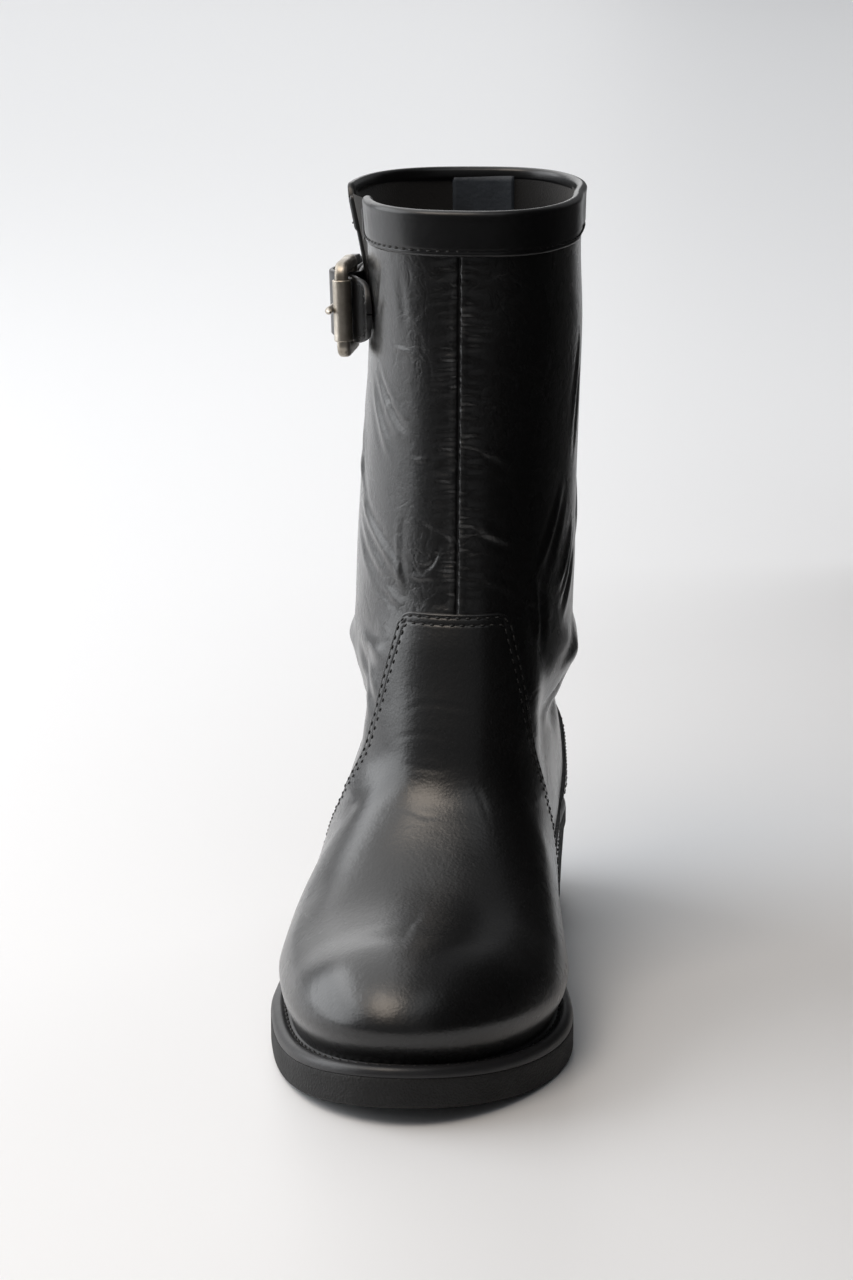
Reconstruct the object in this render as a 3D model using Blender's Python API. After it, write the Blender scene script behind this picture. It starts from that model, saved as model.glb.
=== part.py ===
"""Engineer boot for the right foot: a pull-on leather boot with one buckled strap at its top.

Metres, +Z up. The toe points along -Y, the outer (lateral) side is -X and the inner
(medial) side is +X. The origin is on the floor under the middle of the heel.
"""
import math

import bmesh
import bpy
import numpy as np

# Sole sizes
LENGTH = 0.280            # outsole, toe tip to heel back
HEEL_BACK = 0.036         # heel back behind the origin
BALL_WIDTH = 0.1075       # outsole at its widest
HEEL_WIDTH = 0.070        # outsole at the heel
TOE_ROUND = 0.089         # length of the toe's half ellipse
HEEL_ROUND = 0.036        # length of the heel's half ellipse
FORE_THICK = 0.0108       # outsole under the forefoot
REAR_THICK = 0.0075       # outsole over the heel block
HEEL_HEIGHT = 0.030       # floor to outsole at the heel
LIFT_THICK = 0.006        # wearing piece under the heel block
TOE_SPRING = 0.007        # rise of the outsole at the toe tip
WELT_THICK = 0.0036
WELT_REACH = 0.0072       # sole edge to the upper's foot
INSOLE_THICK = 0.003
EDGE_ROUND = 0.0016       # rounding of the outsole's lower edge
WELT_INSET = 0.0006       # welt's edge inside the outsole's edge
HEEL_TAPER = 0.002        # heel block narrower at its lower end
HEEL_INSET = 0.0006       # heel block inside the outsole's edge
LIFT_ROUND = 0.0008       # rounding of the lift's lower edge
BREAST_HOLLOW = 0.004     # hollow of the heel's front face

# Upper sizes
BOOT_HEIGHT = 0.2865      # floor to collar
SHAFT_WIDTH = 0.077       # shaft across, below the collar
SHAFT_DEPTH = 0.122       # shaft front to back, below the collar
SHAFT_SETBACK = -0.041    # middle of the shaft in Y
INSTEP_HEIGHT = 0.100     # foot form above the welt at its highest
THROAT_HEIGHT = 0.144     # top edge of the vamp
THROAT_WIDTH = 0.043      # vamp across at its top edge
BAND_HEIGHT = 0.0155      # collar band
COUNTER_HEIGHT = 0.090    # top of the heel counter at the back
WALL = 0.0022             # shaft leather and lining together
OVERLAY = 0.0013          # how far vamp, counter and band stand proud
COLLAR_SPREAD = 0.0095    # the back panel stands wider than the front at the collar
GUSSET_TIP = 0.221        # lower end of the slit that the gusset fills
GUSSET_FRONT = -0.062     # slit edges at the collar
GUSSET_BACK = -0.034
GUSSET_THICK = 0.0012
PATCH_WIDTH = 0.025       # lining patch inside the back
PATCH_LENGTH = 0.070
SEWN_EDGE = 0.005         # gusset beyond the slit's edges
SHAFT_FULLNESS = 2.15     # power of the shaft's section, 2 is an ellipse
COLLAR_FULLNESS = 2.6     # power at the collar, which is nearly square in front and behind
FULLER_FROM = 0.200       # height where the power starts to rise
SHAFT_FOOT = 0.075        # the shaft form fades out below this height
SWELL_RISE = 0.014        # height over the welt at which the foot form has swelled out
HEEL_FILLET = 0.008       # blend of foot and shaft behind
INSTEP_FILLET = 0.034     # blend of foot and shaft over the instep
FILLET_FRONT = -0.105     # instep blend is full in front of this
FILLET_BACK = -0.075      # and gone behind this
THROAT_DROP = 0.018       # the ring between foot and shaft is lower at the back

# Strap and buckle sizes
STRAP_WIDTH = 0.0245
STRAP_THICK = 0.0022
STRAP_HEIGHT = 0.2455     # middle of the strap
STRAP_START = -0.0745     # stitched end on the front panel
SEWN_TO = -0.0700         # strap lies on the front panel up to here
STRAP_END = 0.008
CHAPE_THICK = 0.0018
CHAPE_END = -0.006        # stitched end on the back panel
BAR_RADIUS = 0.0024
FRAME_TALL = 0.035
FRAME_CORNER = 0.0035     # radius of the frame's corners
ROLLER_RADIUS = 0.0035
ROLLER_BORE = 0.0028
ROLLER_LENGTH = 0.0225
ROLLER_SET = -0.064       # roller bar in Y
HEEL_BAR_SET = -0.040     # bar that carries chape and prong
ROLLER_LIFT = 0.0102      # middle of the roller's bar over the shaft
HEEL_BAR_LIFT = 0.0062    # middle of the heel bar over the shaft
SLACK = 0.0004            # ease of the strap where it bends
CHAPE_WIDTH = 0.0225
PRONG_RADIUS = 0.0013
KEEPER_SET = -0.018
KEEPER_WIDTH = 0.008
KEEPER_THICK = 0.0012

GAP = 0.0003              # between pieces that touch
LAYER_GAP = 0.0005        # between a flat piece and the curved wall it lies on

CHAPE_STACK = LAYER_GAP + 2.0 * CHAPE_THICK + GAP   # both leaves of the chape on the shaft
TOE_TIP = HEEL_BACK - LENGTH
TOE_MID = TOE_TIP + TOE_ROUND
HEEL_MID = HEEL_BACK - HEEL_ROUND
FLAT_FRONT = TOE_TIP + 0.21 * LENGTH      # forefoot flat on the floor from here
FLAT_BACK = TOE_TIP + 0.435 * LENGTH      # to here
BREAST = TOE_TIP + 0.735 * LENGTH         # front face of the heel

# Sole outline: station (share of LENGTH from the toe), lateral edge and medial edge
# (shares of the width named in the row, from the heel's axis), width.
SOLE_PLAN = (
    (0.000, -0.585, 0.395, BALL_WIDTH),
    (0.140, -0.570, 0.428, BALL_WIDTH),
    (0.230, -0.570, 0.436, BALL_WIDTH),
    (0.330, -0.580, 0.415, BALL_WIDTH),
    (0.410, -0.568, 0.380, BALL_WIDTH),
    (0.500, -0.508, 0.322, BALL_WIDTH),
    (0.600, -0.425, 0.285, BALL_WIDTH),
    (0.700, -0.548, 0.440, HEEL_WIDTH),
    (0.800, -0.516, 0.478, HEEL_WIDTH),
    (0.880, -0.507, 0.493, HEEL_WIDTH),
    (1.000, -0.507, 0.493, HEEL_WIDTH),
)

# Foot form: station (share of LENGTH), ridge in X (share of BALL_WIDTH), ridge height above
# the welt (share of INSTEP_HEIGHT), lateral and medial swell beyond the upper's foot
# (shares of BALL_WIDTH), lateral and medial fullness (power of the section).
FOOT_FORM = (
    (0.000, -0.095, 0.395, 0.040, 0.040, 2.4, 2.4),
    (0.120, -0.085, 0.415, 0.042, 0.044, 2.5, 2.5),
    (0.200, -0.070, 0.390, 0.040, 0.046, 2.5, 2.6),
    (0.270, -0.055, 0.420, 0.038, 0.046, 2.45, 2.5),
    (0.330, -0.040, 0.510, 0.038, 0.048, 2.2, 2.4),
    (0.385, -0.026, 0.640, 0.042, 0.052, 1.95, 2.3),
    (0.440, -0.012, 0.790, 0.052, 0.064, 1.74, 2.2),
    (0.510, 0.000, 0.920, 0.072, 0.086, 1.72, 2.2),
    (0.590, 0.004, 0.940, 0.084, 0.100, 1.95, 2.4),
    (0.690, 0.000, 0.860, 0.080, 0.100, 2.3, 2.7),
    (0.860, 0.000, 0.740, 0.062, 0.062, 2.3, 2.4),
    (1.000, 0.000, 0.720, 0.034, 0.034, 2.1, 2.1),
)

# Shaft form: height (share of BOOT_HEIGHT), lateral and medial reach (shares of SHAFT_WIDTH),
# front and back reach from the shaft's middle (shares of SHAFT_DEPTH).
SHAFT_FORM = (
    (0.170, -0.470, 0.375, 0.360, 0.505),
    (0.262, -0.465, 0.372, 0.420, 0.495),
    (0.307, -0.462, 0.388, 0.490, 0.480),
    (0.350, -0.510, 0.440, 0.565, 0.470),
    (0.392, -0.550, 0.492, 0.605, 0.470),
    (0.455, -0.556, 0.496, 0.598, 0.472),
    (0.520, -0.552, 0.504, 0.570, 0.476),
    (0.625, -0.532, 0.508, 0.545, 0.487),
    (0.730, -0.506, 0.518, 0.522, 0.497),
    (0.840, -0.480, 0.527, 0.508, 0.500),
    (0.920, -0.484, 0.516, 0.500, 0.500),
    (1.000, -0.500, 0.520, 0.498, 0.500),
)

# Main folds of the slack ankle: direction round the shaft (degrees from the front, lateral
# negative), reach round it (degrees), height (share of BOOT_HEIGHT), drop of the fold from
# its middle to its ends (share of BOOT_HEIGHT), depth (share of WALL, out positive) and
# half width (share of BOOT_HEIGHT).
ANKLE_FOLDS = (
    (0.0, 46.0, 0.462, 0.030, 0.25, 0.030),
    (0.0, 52.0, 0.405, 0.045, -0.25, 0.030),
    (-98.0, 34.0, 0.405, -0.030, 1.10, 0.028),
    (-92.0, 40.0, 0.318, -0.020, -1.10, 0.020),
    (96.0, 38.0, 0.392, -0.030, 1.00, 0.026),
    (90.0, 42.0, 0.315, -0.020, -1.10, 0.020),
    (178.0, 50.0, 0.375, 0.020, -1.00, 0.024),
    (176.0, 44.0, 0.440, 0.020, 0.90, 0.026),
)

# Vamp's side seam: height (share of THROAT_HEIGHT) and place in Y (share of LENGTH).
SEAM_LINE = (
    (0.14, -0.318),
    (0.35, -0.324),
    (0.45, -0.338),
    (0.555, -0.360),
    (0.66, -0.377),
    (0.76, -0.384),
    (0.87, -0.381),
    (1.00, -0.374),
)

# Heel counter's top edge: place in Y (share of LENGTH), height (share of COUNTER_HEIGHT).
COUNTER_EDGE = (
    (-0.340, 0.53),
    (-0.210, 0.57),
    (-0.086, 0.67),
    (0.007, 0.81),
    (0.070, 0.93),
    (0.120, 1.00),
)

AROUND = 72               # columns round the upper
VAMP_COLUMNS = 16         # columns between the vamp's middle and its edge
PAIR_TURN = 0.005         # between the two columns, or rows, of a step
EVEN_EDGE = 0.30          # turn at which the vamp's columns end up on the shaft
HEEL_STEPS = 28           # points round the heel, breast corner to breast corner
BREAST_STEPS = 8          # points along the heel's breast
COUNTER_ROWS = 9          # rows up to the counter's edge
THROAT_ROWS = 7           # rows from there to the throat
SHAFT_ROWS = 11           # rows from there to the collar band
SPREAD_COLUMNS = 8        # columns beside the vamp in which its last two rows draw apart
EVEN_STEP = 0.06          # distance in rise that these rows have in the other columns
BAND_ROWS = 4
INNER_ROWS = 12
RAY_TILT = 64.0           # steepest ray over the instep, in degrees
STRAP_SECTIONS = 36


def rows(table):
    """Columns of a table as arrays."""
    return [np.array(column) for column in zip(*table)]


def smooth_between(at, places, values):
    """Cubic through the values at rising places, with slopes from their neighbours."""
    slopes = np.gradient(values, places)
    at = np.clip(at, places[0], places[-1])
    k = np.clip(np.searchsorted(places, at, side="right") - 1, 0, len(places) - 2)
    span = places[k + 1] - places[k]
    t = (at - places[k]) / span
    rise = values[k + 1] - values[k]
    start = slopes[k] * span
    end = slopes[k + 1] * span
    return values[k] + t * (start + t * (3 * rise - 2 * start - end + t * (start + end - 2 * rise)))


def ease(t):
    """Smooth step from 0 to 1."""
    t = np.clip(t, 0.0, 1.0)
    return t * t * (3.0 - 2.0 * t)


def outsole_bottom(y):
    """Height of the outsole's underside: toe spring, flat forefoot, arch, heel seat."""
    spring = np.clip((FLAT_FRONT - y) / (FLAT_FRONT - TOE_TIP), 0.0, None) ** 2
    return TOE_SPRING * spring + HEEL_HEIGHT * ease((y - FLAT_BACK) / (BREAST - FLAT_BACK))


def outsole_top(y):
    """Height of the outsole's upper face, which the welt and the insole lie on."""
    thick = FORE_THICK + (REAR_THICK - FORE_THICK) * ease((y - FLAT_BACK) / (BREAST - FLAT_BACK))
    return outsole_bottom(y) + thick


def welt_top(y):
    """Height of the welt's upper face."""
    return outsole_top(y) + GAP + WELT_THICK


def sole_edges(y):
    """Lateral and medial edge of the outsole at y, before its ends are rounded."""
    station, lateral, medial, width = rows(SOLE_PLAN)
    share = (y - TOE_TIP) / LENGTH
    return (smooth_between(share, station, lateral * width),
            smooth_between(share, station, medial * width))


def foot_rows(y):
    """Ridge x, ridge height, swells and fullness of the foot form at y."""
    station, ridge, height, swell_out, swell_in, full_out, full_in = rows(FOOT_FORM)
    share = (y - TOE_TIP) / LENGTH
    return (smooth_between(share, station, ridge * BALL_WIDTH),
            smooth_between(share, station, height * INSTEP_HEIGHT),
            smooth_between(share, station, swell_out * BALL_WIDTH),
            smooth_between(share, station, swell_in * BALL_WIDTH),
            smooth_between(share, station, full_out),
            smooth_between(share, station, full_in))


def foot_turns():
    """Turns of the upper's columns at its foot, which the sole pieces share."""
    turn = np.linspace(0.3, 0.8, 200)
    edge = float(np.interp(SEAM_LINE[0][1] * LENGTH, plan_points(turn, -WELT_REACH)[1], turn))
    side = half_turns(edge)
    return np.concatenate([side, 2.0 - side[1:-1][::-1]])


def plan_points(turn, grow):
    """Outline points at turn 0 (toe tip), 0..1 lateral side, 1 (heel back), 1..2 medial side."""
    way = 1.0 - np.abs(1.0 - turn)
    toe = TOE_ROUND + grow
    heel = HEEL_ROUND + grow
    middle = HEEL_MID - TOE_MID
    total = (toe + heel) * math.pi / 2 + middle
    run = way * total
    toe_angle = np.clip(run / toe, 0.0, math.pi / 2)
    heel_angle = np.clip((total - run) / heel, 0.0, math.pi / 2)
    straight = np.clip(run - toe * math.pi / 2, 0.0, middle)
    y = TOE_MID - toe * np.cos(toe_angle) + straight + heel * np.cos(heel_angle)
    shut = np.sin(toe_angle) * np.sin(heel_angle)
    ridge = foot_rows(y)[0]
    lateral, medial = sole_edges(y)
    edge = np.where(turn <= 1.0, lateral - grow, medial + grow)
    return ridge + (edge - ridge) * shut, y


def foot_form(x, y, z):
    """Signed measure of the foot form, about the distance in metres from its surface."""
    ridge, height, swell_out, swell_in, full_out, full_in = foot_rows(y)
    lateral, medial = sole_edges(y)
    above = np.clip(z - welt_top(y), 0.0, None)
    swell = ease(above / SWELL_RISE)
    out = x < ridge
    grow = np.where(out, swell_out, swell_in) * swell - WELT_REACH
    half = np.where(out, ridge - lateral, medial - ridge) + grow
    toe = np.clip((TOE_MID - y) / (TOE_ROUND + grow), 0.0, None)
    heel = np.clip((y - HEEL_MID) / (HEEL_ROUND + grow), 0.0, None)
    flat = np.sqrt(((x - ridge) / half) ** 2 + toe ** 2 + heel ** 2)
    power = np.where(out, full_out, full_in)
    size = (flat ** power + (above / height) ** power) ** (1.0 / power)
    mean = 0.5 * (medial - lateral + (swell_out + swell_in) * swell) - WELT_REACH
    return (size - 1.0) * 0.45 * (mean + height)


def shaft_reaches(y, z):
    """Lateral, medial, front and back reach of the shaft at height z."""
    share, lateral, medial, front, back = rows(SHAFT_FORM)
    at = z / BOOT_HEIGHT
    spread = ease((z - GUSSET_TIP) / (BOOT_HEIGHT - GUSSET_TIP) * 0.75)
    behind = ease((y - GUSSET_FRONT) / (GUSSET_BACK - GUSSET_FRONT))
    return (smooth_between(at, share, lateral * SHAFT_WIDTH) - COLLAR_SPREAD * spread * behind,
            smooth_between(at, share, medial * SHAFT_WIDTH),
            smooth_between(at, share, front * SHAFT_DEPTH),
            smooth_between(at, share, back * SHAFT_DEPTH))


def shaft_form(x, y, z):
    """Signed measure of the shaft form, about the distance in metres from its surface."""
    lateral, medial, front, back = shaft_reaches(y, z)
    across = np.where(x < 0.0, x / lateral, x / medial)
    along = (y - SHAFT_SETBACK) / np.where(y < SHAFT_SETBACK, front, back)
    fuller = ease((z - FULLER_FROM) / (BOOT_HEIGHT - FULLER_FROM))
    power = SHAFT_FULLNESS + (COLLAR_FULLNESS - SHAFT_FULLNESS) * fuller
    size = (np.abs(across) ** power + np.abs(along) ** power) ** (1.0 / power)
    below = np.clip(SHAFT_FOOT - z, 0.0, None)
    return (size - 1.0) * 0.5 * SHAFT_WIDTH + below


def boot_form(x, y, z):
    """Foot and shaft joined with a fillet that is wide over the instep."""
    foot = foot_form(x, y, z)
    shaft = shaft_form(x, y, z)
    front = ease((FILLET_BACK - y) / (FILLET_BACK - FILLET_FRONT))
    fillet = HEEL_FILLET + (INSTEP_FILLET - HEEL_FILLET) * front
    mix = np.clip(0.5 + 0.5 * (shaft - foot) / fillet, 0.0, 1.0)
    return shaft + (foot - shaft) * mix - fillet * mix * (1.0 - mix)


def throat_ring(turn):
    """Height of the ring where the foot's rows end: the throat in front, lower behind."""
    front = 0.5 + 0.5 * np.cos(math.pi * turn)
    return THROAT_HEIGHT - THROAT_DROP * (1.0 - front)


def cast_skin(turn, rise):
    """Points of the outer skin.

    turn is 0 at the front, negative round the lateral side to -1 at the back and positive
    round the medial side. rise is 0 at the foot, 1 at the throat ring, 2 at the collar.
    Each point is where a ray from inside leaves the form. Its start moves from the sole's
    middle line to the shaft's axis, and it tilts up over the toe and the instep.
    """
    around = np.abs(turn)
    foot_x, foot_y = plan_points(np.where(turn <= 0.0, around, 2.0 - around), -WELT_REACH)
    low = np.clip(rise, 0.0, 1.0)
    high = np.clip(rise - 1.0, 0.0, 1.0)
    start_y = np.clip(foot_y, TOE_MID - 0.045, HEEL_MID)
    start_x = foot_rows(start_y)[0]
    blend = ease(low)
    throat = throat_ring(turn)
    foot_z = welt_top(foot_y)
    lift = low ** (2.0 - around)
    from_x = start_x * (1.0 - blend)
    from_y = start_y + (SHAFT_SETBACK - start_y) * blend
    from_z = foot_z + (throat - foot_z) * lift + (BOOT_HEIGHT - throat) * high
    aim_x = foot_x - start_x
    aim_y = foot_y - start_y
    size = np.hypot(aim_x, aim_y)
    side_x = np.sin(math.pi * turn)
    side_y = -np.cos(math.pi * turn)
    way_x = aim_x / size * (1.0 - blend) + side_x * blend
    way_y = aim_y / size * (1.0 - blend) + side_y * blend
    size = np.hypot(way_x, way_y)
    tilt = math.radians(RAY_TILT) * np.sin(math.pi * low ** 0.75) * (1.0 - ease(around * 1.15))
    way_x = way_x / size * np.cos(tilt)
    way_y = way_y / size * np.cos(tilt)
    way_z = np.sin(tilt)
    near = np.zeros_like(from_z)
    far = np.full_like(from_z, 0.16)
    for _ in range(26):
        reach = (near + far) / 2.0
        inside = boot_form(from_x + way_x * reach, from_y + way_y * reach, from_z + way_z * reach) < 0.0
        near = np.where(inside, reach, near)
        far = np.where(inside, far, reach)
    return np.stack([from_x + way_x * near, from_y + way_y * near, from_z + way_z * near], axis=-1)


def fold_depth(points):
    """Height of the main ankle folds at the skin's points."""
    angle = np.degrees(np.arctan2(points[..., 0], SHAFT_SETBACK - points[..., 1]))
    share = points[..., 2] / BOOT_HEIGHT
    depth = np.zeros(points.shape[:-1])
    for middle, reach, height, drop, deep, half in ANKLE_FOLDS:
        off = (angle - middle + 180.0) % 360.0 - 180.0
        line = height - drop * (off / reach) ** 2
        depth += deep * WALL * np.exp(-((share - line) / half) ** 2 - (off / reach) ** 2)
    return depth


def normals_of(points):
    """Outward normals of a closed grid: rows rise, columns run round."""
    along = np.gradient(points, axis=0)
    round_it = np.roll(points, -1, axis=1) - np.roll(points, 1, axis=1)
    normal = np.cross(along, round_it)
    return normal / np.linalg.norm(normal, axis=-1, keepdims=True)


def half_turns(edge):
    """Turns of the columns on one side, with a close pair of columns at the vamp's edge."""
    vamp = np.linspace(0.0, 1.0, VAMP_COLUMNS + 1)
    rest = np.linspace(0.0, 1.0, AROUND // 2 - VAMP_COLUMNS)
    beyond = edge + PAIR_TURN
    return np.concatenate([vamp * edge, beyond + rest * (1.0 - beyond)])


def seam_place(z):
    """Y of the vamp's side seam at height z."""
    share, place = rows(SEAM_LINE)
    return smooth_between(z / THROAT_HEIGHT, share, place * LENGTH)


def counter_line(y):
    """Height of the heel counter's top edge at y."""
    place, share = rows(COUNTER_EDGE)
    return smooth_between(y / LENGTH, place, share * COUNTER_HEIGHT)


def seam_turns(rise, side):
    """Turn of the vamp's edge at each rise, on one side: where the skin passes the seam."""
    turn = np.linspace(0.02, 0.80, 53)
    turns, rises = np.meshgrid(turn, rise)
    points = cast_skin(side * turns, rises)
    past = points[..., 1] - seam_place(points[..., 2])
    edges = np.array([np.interp(0.0, row, turn) for row in np.maximum.accumulate(past, axis=1)])
    throat = np.interp(1.0, rise, edges)
    shaft = throat + (EVEN_EDGE - throat) * ease((rise - 1.05) / 0.6)
    return np.where(rise <= 1.0, edges, shaft)


def make_material(name, colour, roughness, metallic=0.0):
    """Principled material."""
    material = bpy.data.materials.new(name)
    material.use_nodes = True
    shader = material.node_tree.nodes["Principled BSDF"]
    shader.inputs["Base Color"].default_value = (*colour, 1.0)
    shader.inputs["Roughness"].default_value = roughness
    shader.inputs["Metallic"].default_value = metallic
    material.diffuse_color = (*colour, 1.0)
    return material


def add_object(name, points, faces, material, sharp=35.0):
    """Closed mesh object with its faces pointing out."""
    mesh = bpy.data.meshes.new(name)
    mesh.from_pydata(np.asarray(points).reshape(-1, 3).tolist(), [], faces)
    shape = bmesh.new()
    shape.from_mesh(mesh)
    bmesh.ops.recalc_face_normals(shape, faces=shape.faces)
    shape.to_mesh(mesh)
    shape.free()
    mesh.shade_smooth()
    mesh.set_sharp_from_angle(angle=math.radians(sharp))
    mesh.materials.append(material)
    thing = bpy.data.objects.new(name, mesh)
    bpy.context.collection.objects.link(thing)
    return thing


def wall_faces(rings, points, closed):
    """Quads between rings of points. The last ring joins the first where closed is set."""
    faces = []
    for k in range(rings if closed else rings - 1):
        low = k * points
        high = (k + 1) % rings * points
        for i in range(points):
            j = (i + 1) % points
            faces.append((low + i, low + j, high + j, high + i))
    return faces


def ladder_faces(start, points):
    """Quads across a ring whose points i and points - i face each other."""
    faces = [(start, start + 1, start + points - 1)]
    for i in range(1, points // 2 - 1):
        faces.append((start + i, start + i + 1, start + points - i - 1, start + points - i))
    last = points // 2
    faces.append((start + last - 1, start + last, start + last + 1))
    return faces


def ring_body(name, rings, material):
    """Body from rings that close on themselves, like a tyre."""
    rings = np.asarray(rings)
    return add_object(name, rings, wall_faces(len(rings), rings.shape[1], True), material)


def slab_body(name, rings, material):
    """Body from stacked rings, closed across its first and last ring."""
    rings = np.asarray(rings)
    count, points = rings.shape[:2]
    faces = wall_faces(count, points, False)
    faces += ladder_faces(0, points) + ladder_faces((count - 1) * points, points)
    return add_object(name, rings, faces, material)


def swept_body(name, sections, material):
    """Body from sections along a path, closed by its two end sections."""
    sections = np.asarray(sections)
    count, points = sections.shape[:2]
    faces = wall_faces(count, points, False)
    faces.append(tuple(range(points)))
    faces.append(tuple(range((count - 1) * points, count * points)))
    return add_object(name, sections, faces, material)


def level_ring(grow, height):
    """Ring on the sole's outline moved out by grow, at a height given by y."""
    x, y = plan_points(foot_turns(), grow)
    return np.stack([x, y, height(y)], axis=-1)


def build_outsole(material):
    """Full-length rubber outsole with a rounded lower edge."""
    def bottom(y):
        return outsole_bottom(y)

    def above(y):
        return outsole_bottom(y) + EDGE_ROUND

    def under_welt(y):
        return outsole_top(y) - 0.3 * EDGE_ROUND

    rings = [level_ring(-EDGE_ROUND, bottom),
             level_ring(-0.3 * EDGE_ROUND, lambda y: bottom(y) + 0.3 * EDGE_ROUND),
             level_ring(0.0, above),
             level_ring(0.0, under_welt),
             level_ring(-0.3 * EDGE_ROUND, outsole_top)]
    return slab_body("outsole", rings, material)


def build_welt(material):
    """Leather welt all round, with a rounded outer edge, stitched to upper and outsole."""
    def bottom(y):
        return outsole_top(y) + GAP

    def middle(y):
        return welt_top(y) - 0.45 * WELT_THICK

    inner = GAP - WELT_REACH
    rings = [level_ring(inner, bottom),
             level_ring(-WELT_INSET, bottom),
             level_ring(-WELT_INSET, middle),
             level_ring(-WELT_INSET - 0.35 * WELT_THICK, lambda y: welt_top(y) - 0.1 * WELT_THICK),
             level_ring(-WELT_INSET - 0.8 * WELT_THICK, welt_top),
             level_ring(inner, welt_top)]
    return ring_body("welt", rings, material)


def heel_ring(grow, height):
    """Ring of the heel block: the sole's outline behind the breast, and a hollow breast line."""
    turns = np.linspace(breast_turn(), 2.0 - breast_turn(), HEEL_STEPS + 1)
    x, y = plan_points(turns, grow)
    share = np.linspace(0.0, 1.0, BREAST_STEPS + 1)[1:-1]
    front_x = x[-1] + (x[0] - x[-1]) * share
    front_y = y[0] + BREAST_HOLLOW * 4.0 * share * (1.0 - share)
    x = np.concatenate([x, front_x])
    y = np.concatenate([y, front_y])
    start = HEEL_STEPS // 2
    x = np.roll(x, -start)
    y = np.roll(y, -start)
    return np.stack([x, y, height(y)], axis=-1)


def breast_turn():
    """Turn of the sole's outline at the heel's front face."""
    turn = np.linspace(0.3, 1.0, 400)
    return float(np.interp(BREAST, plan_points(turn, 0.0)[1], turn))


def build_heel(material):
    """Heel block under the outsole."""
    def bottom(y):
        return np.full_like(y, LIFT_THICK + GAP)

    def middle(y):
        return 0.5 * (bottom(y) + top(y))

    def top(y):
        return outsole_bottom(y) - GAP

    rings = [heel_ring(-HEEL_TAPER, bottom),
             heel_ring(-0.5 * (HEEL_TAPER + HEEL_INSET), middle),
             heel_ring(-HEEL_INSET, top)]
    return slab_body("heel_block", rings, material)


def build_lift(material):
    """Flat wearing piece under the heel block."""
    def at(height):
        return lambda y: np.full_like(y, height)

    rings = [heel_ring(-HEEL_TAPER - LIFT_ROUND, at(0.0)),
             heel_ring(-HEEL_TAPER, at(LIFT_ROUND)),
             heel_ring(-HEEL_TAPER, at(LIFT_THICK))]
    return slab_body("heel_lift", rings, material)


def build_insole(material):
    """Insole inside the upper, lying on the outsole."""
    grow = -WELT_REACH - WALL - GAP
    rings = [level_ring(grow, lambda y: outsole_top(y) + GAP),
             level_ring(grow, lambda y: outsole_top(y) + GAP + INSOLE_THICK)]
    return slab_body("insole", rings, material)


def column_points(rise):
    """Skin on the upper's columns at each rise, with the ankle folds."""
    turns = np.empty((len(rise), AROUND))
    half = AROUND // 2
    for side, edges in ((-1.0, seam_turns(rise, -1.0)), (1.0, seam_turns(rise, 1.0))):
        for row, edge in enumerate(edges):
            turn = half_turns(edge)
            if side < 0.0:
                turns[row, :half + 1] = -turn
            else:
                turns[row, half + 1:] = turn[1:half][::-1]
    points = cast_skin(turns, np.repeat(rise[:, None], AROUND, axis=1))
    return points + normals_of(points) * fold_depth(points)[..., None]


def stepped_rises(points, rise):
    """Rise of each row in each column, with close row pairs at counter, throat and band."""
    z = points[..., 2]
    above = z - counter_line(points[..., 1])
    band = BOOT_HEIGHT - BAND_HEIGHT
    out = []
    for column in range(AROUND):
        low = float(np.interp(0.0, np.maximum.accumulate(above[:, column]), rise))
        low = min(max(low, 0.25), 0.80)
        high = float(np.interp(band, np.maximum.accumulate(z[:, column]), rise))
        off = ease((min(column, AROUND - column) - VAMP_COLUMNS) / SPREAD_COLUMNS)
        start = 1.0 + PAIR_TURN + (EVEN_STEP - PAIR_TURN) * off
        parts = [np.linspace(0.0, low, COUNTER_ROWS),
                 np.linspace(low + PAIR_TURN, 1.0, THROAT_ROWS),
                 np.linspace(start, high - PAIR_TURN, SHAFT_ROWS),
                 np.linspace(high, 2.0, BAND_ROWS)]
        out.append(np.concatenate(parts))
    return np.array(out).T


def overlay_lift(count):
    """Height of vamp, counter and collar band over the shaft, row by row and column by column."""
    column = np.arange(AROUND)
    from_front = np.minimum(column, AROUND - column)
    vamp = from_front <= VAMP_COLUMNS
    lift = np.zeros((count, AROUND))
    lift[:COUNTER_ROWS + THROAT_ROWS, vamp] = OVERLAY
    lift[:COUNTER_ROWS, ~vamp] = OVERLAY
    lift[COUNTER_ROWS + THROAT_ROWS + SHAFT_ROWS:, :] = OVERLAY
    lift[0, :] = 0.0
    lift[1, :] *= 0.8
    return lift


def along_columns(points, rise, wanted):
    """Points of each column at the wanted rises."""
    return np.stack([np.stack([np.interp(wanted[:, c], rise, points[:, c, k])
                               for k in range(3)], axis=-1) for c in range(AROUND)], axis=1)


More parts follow.
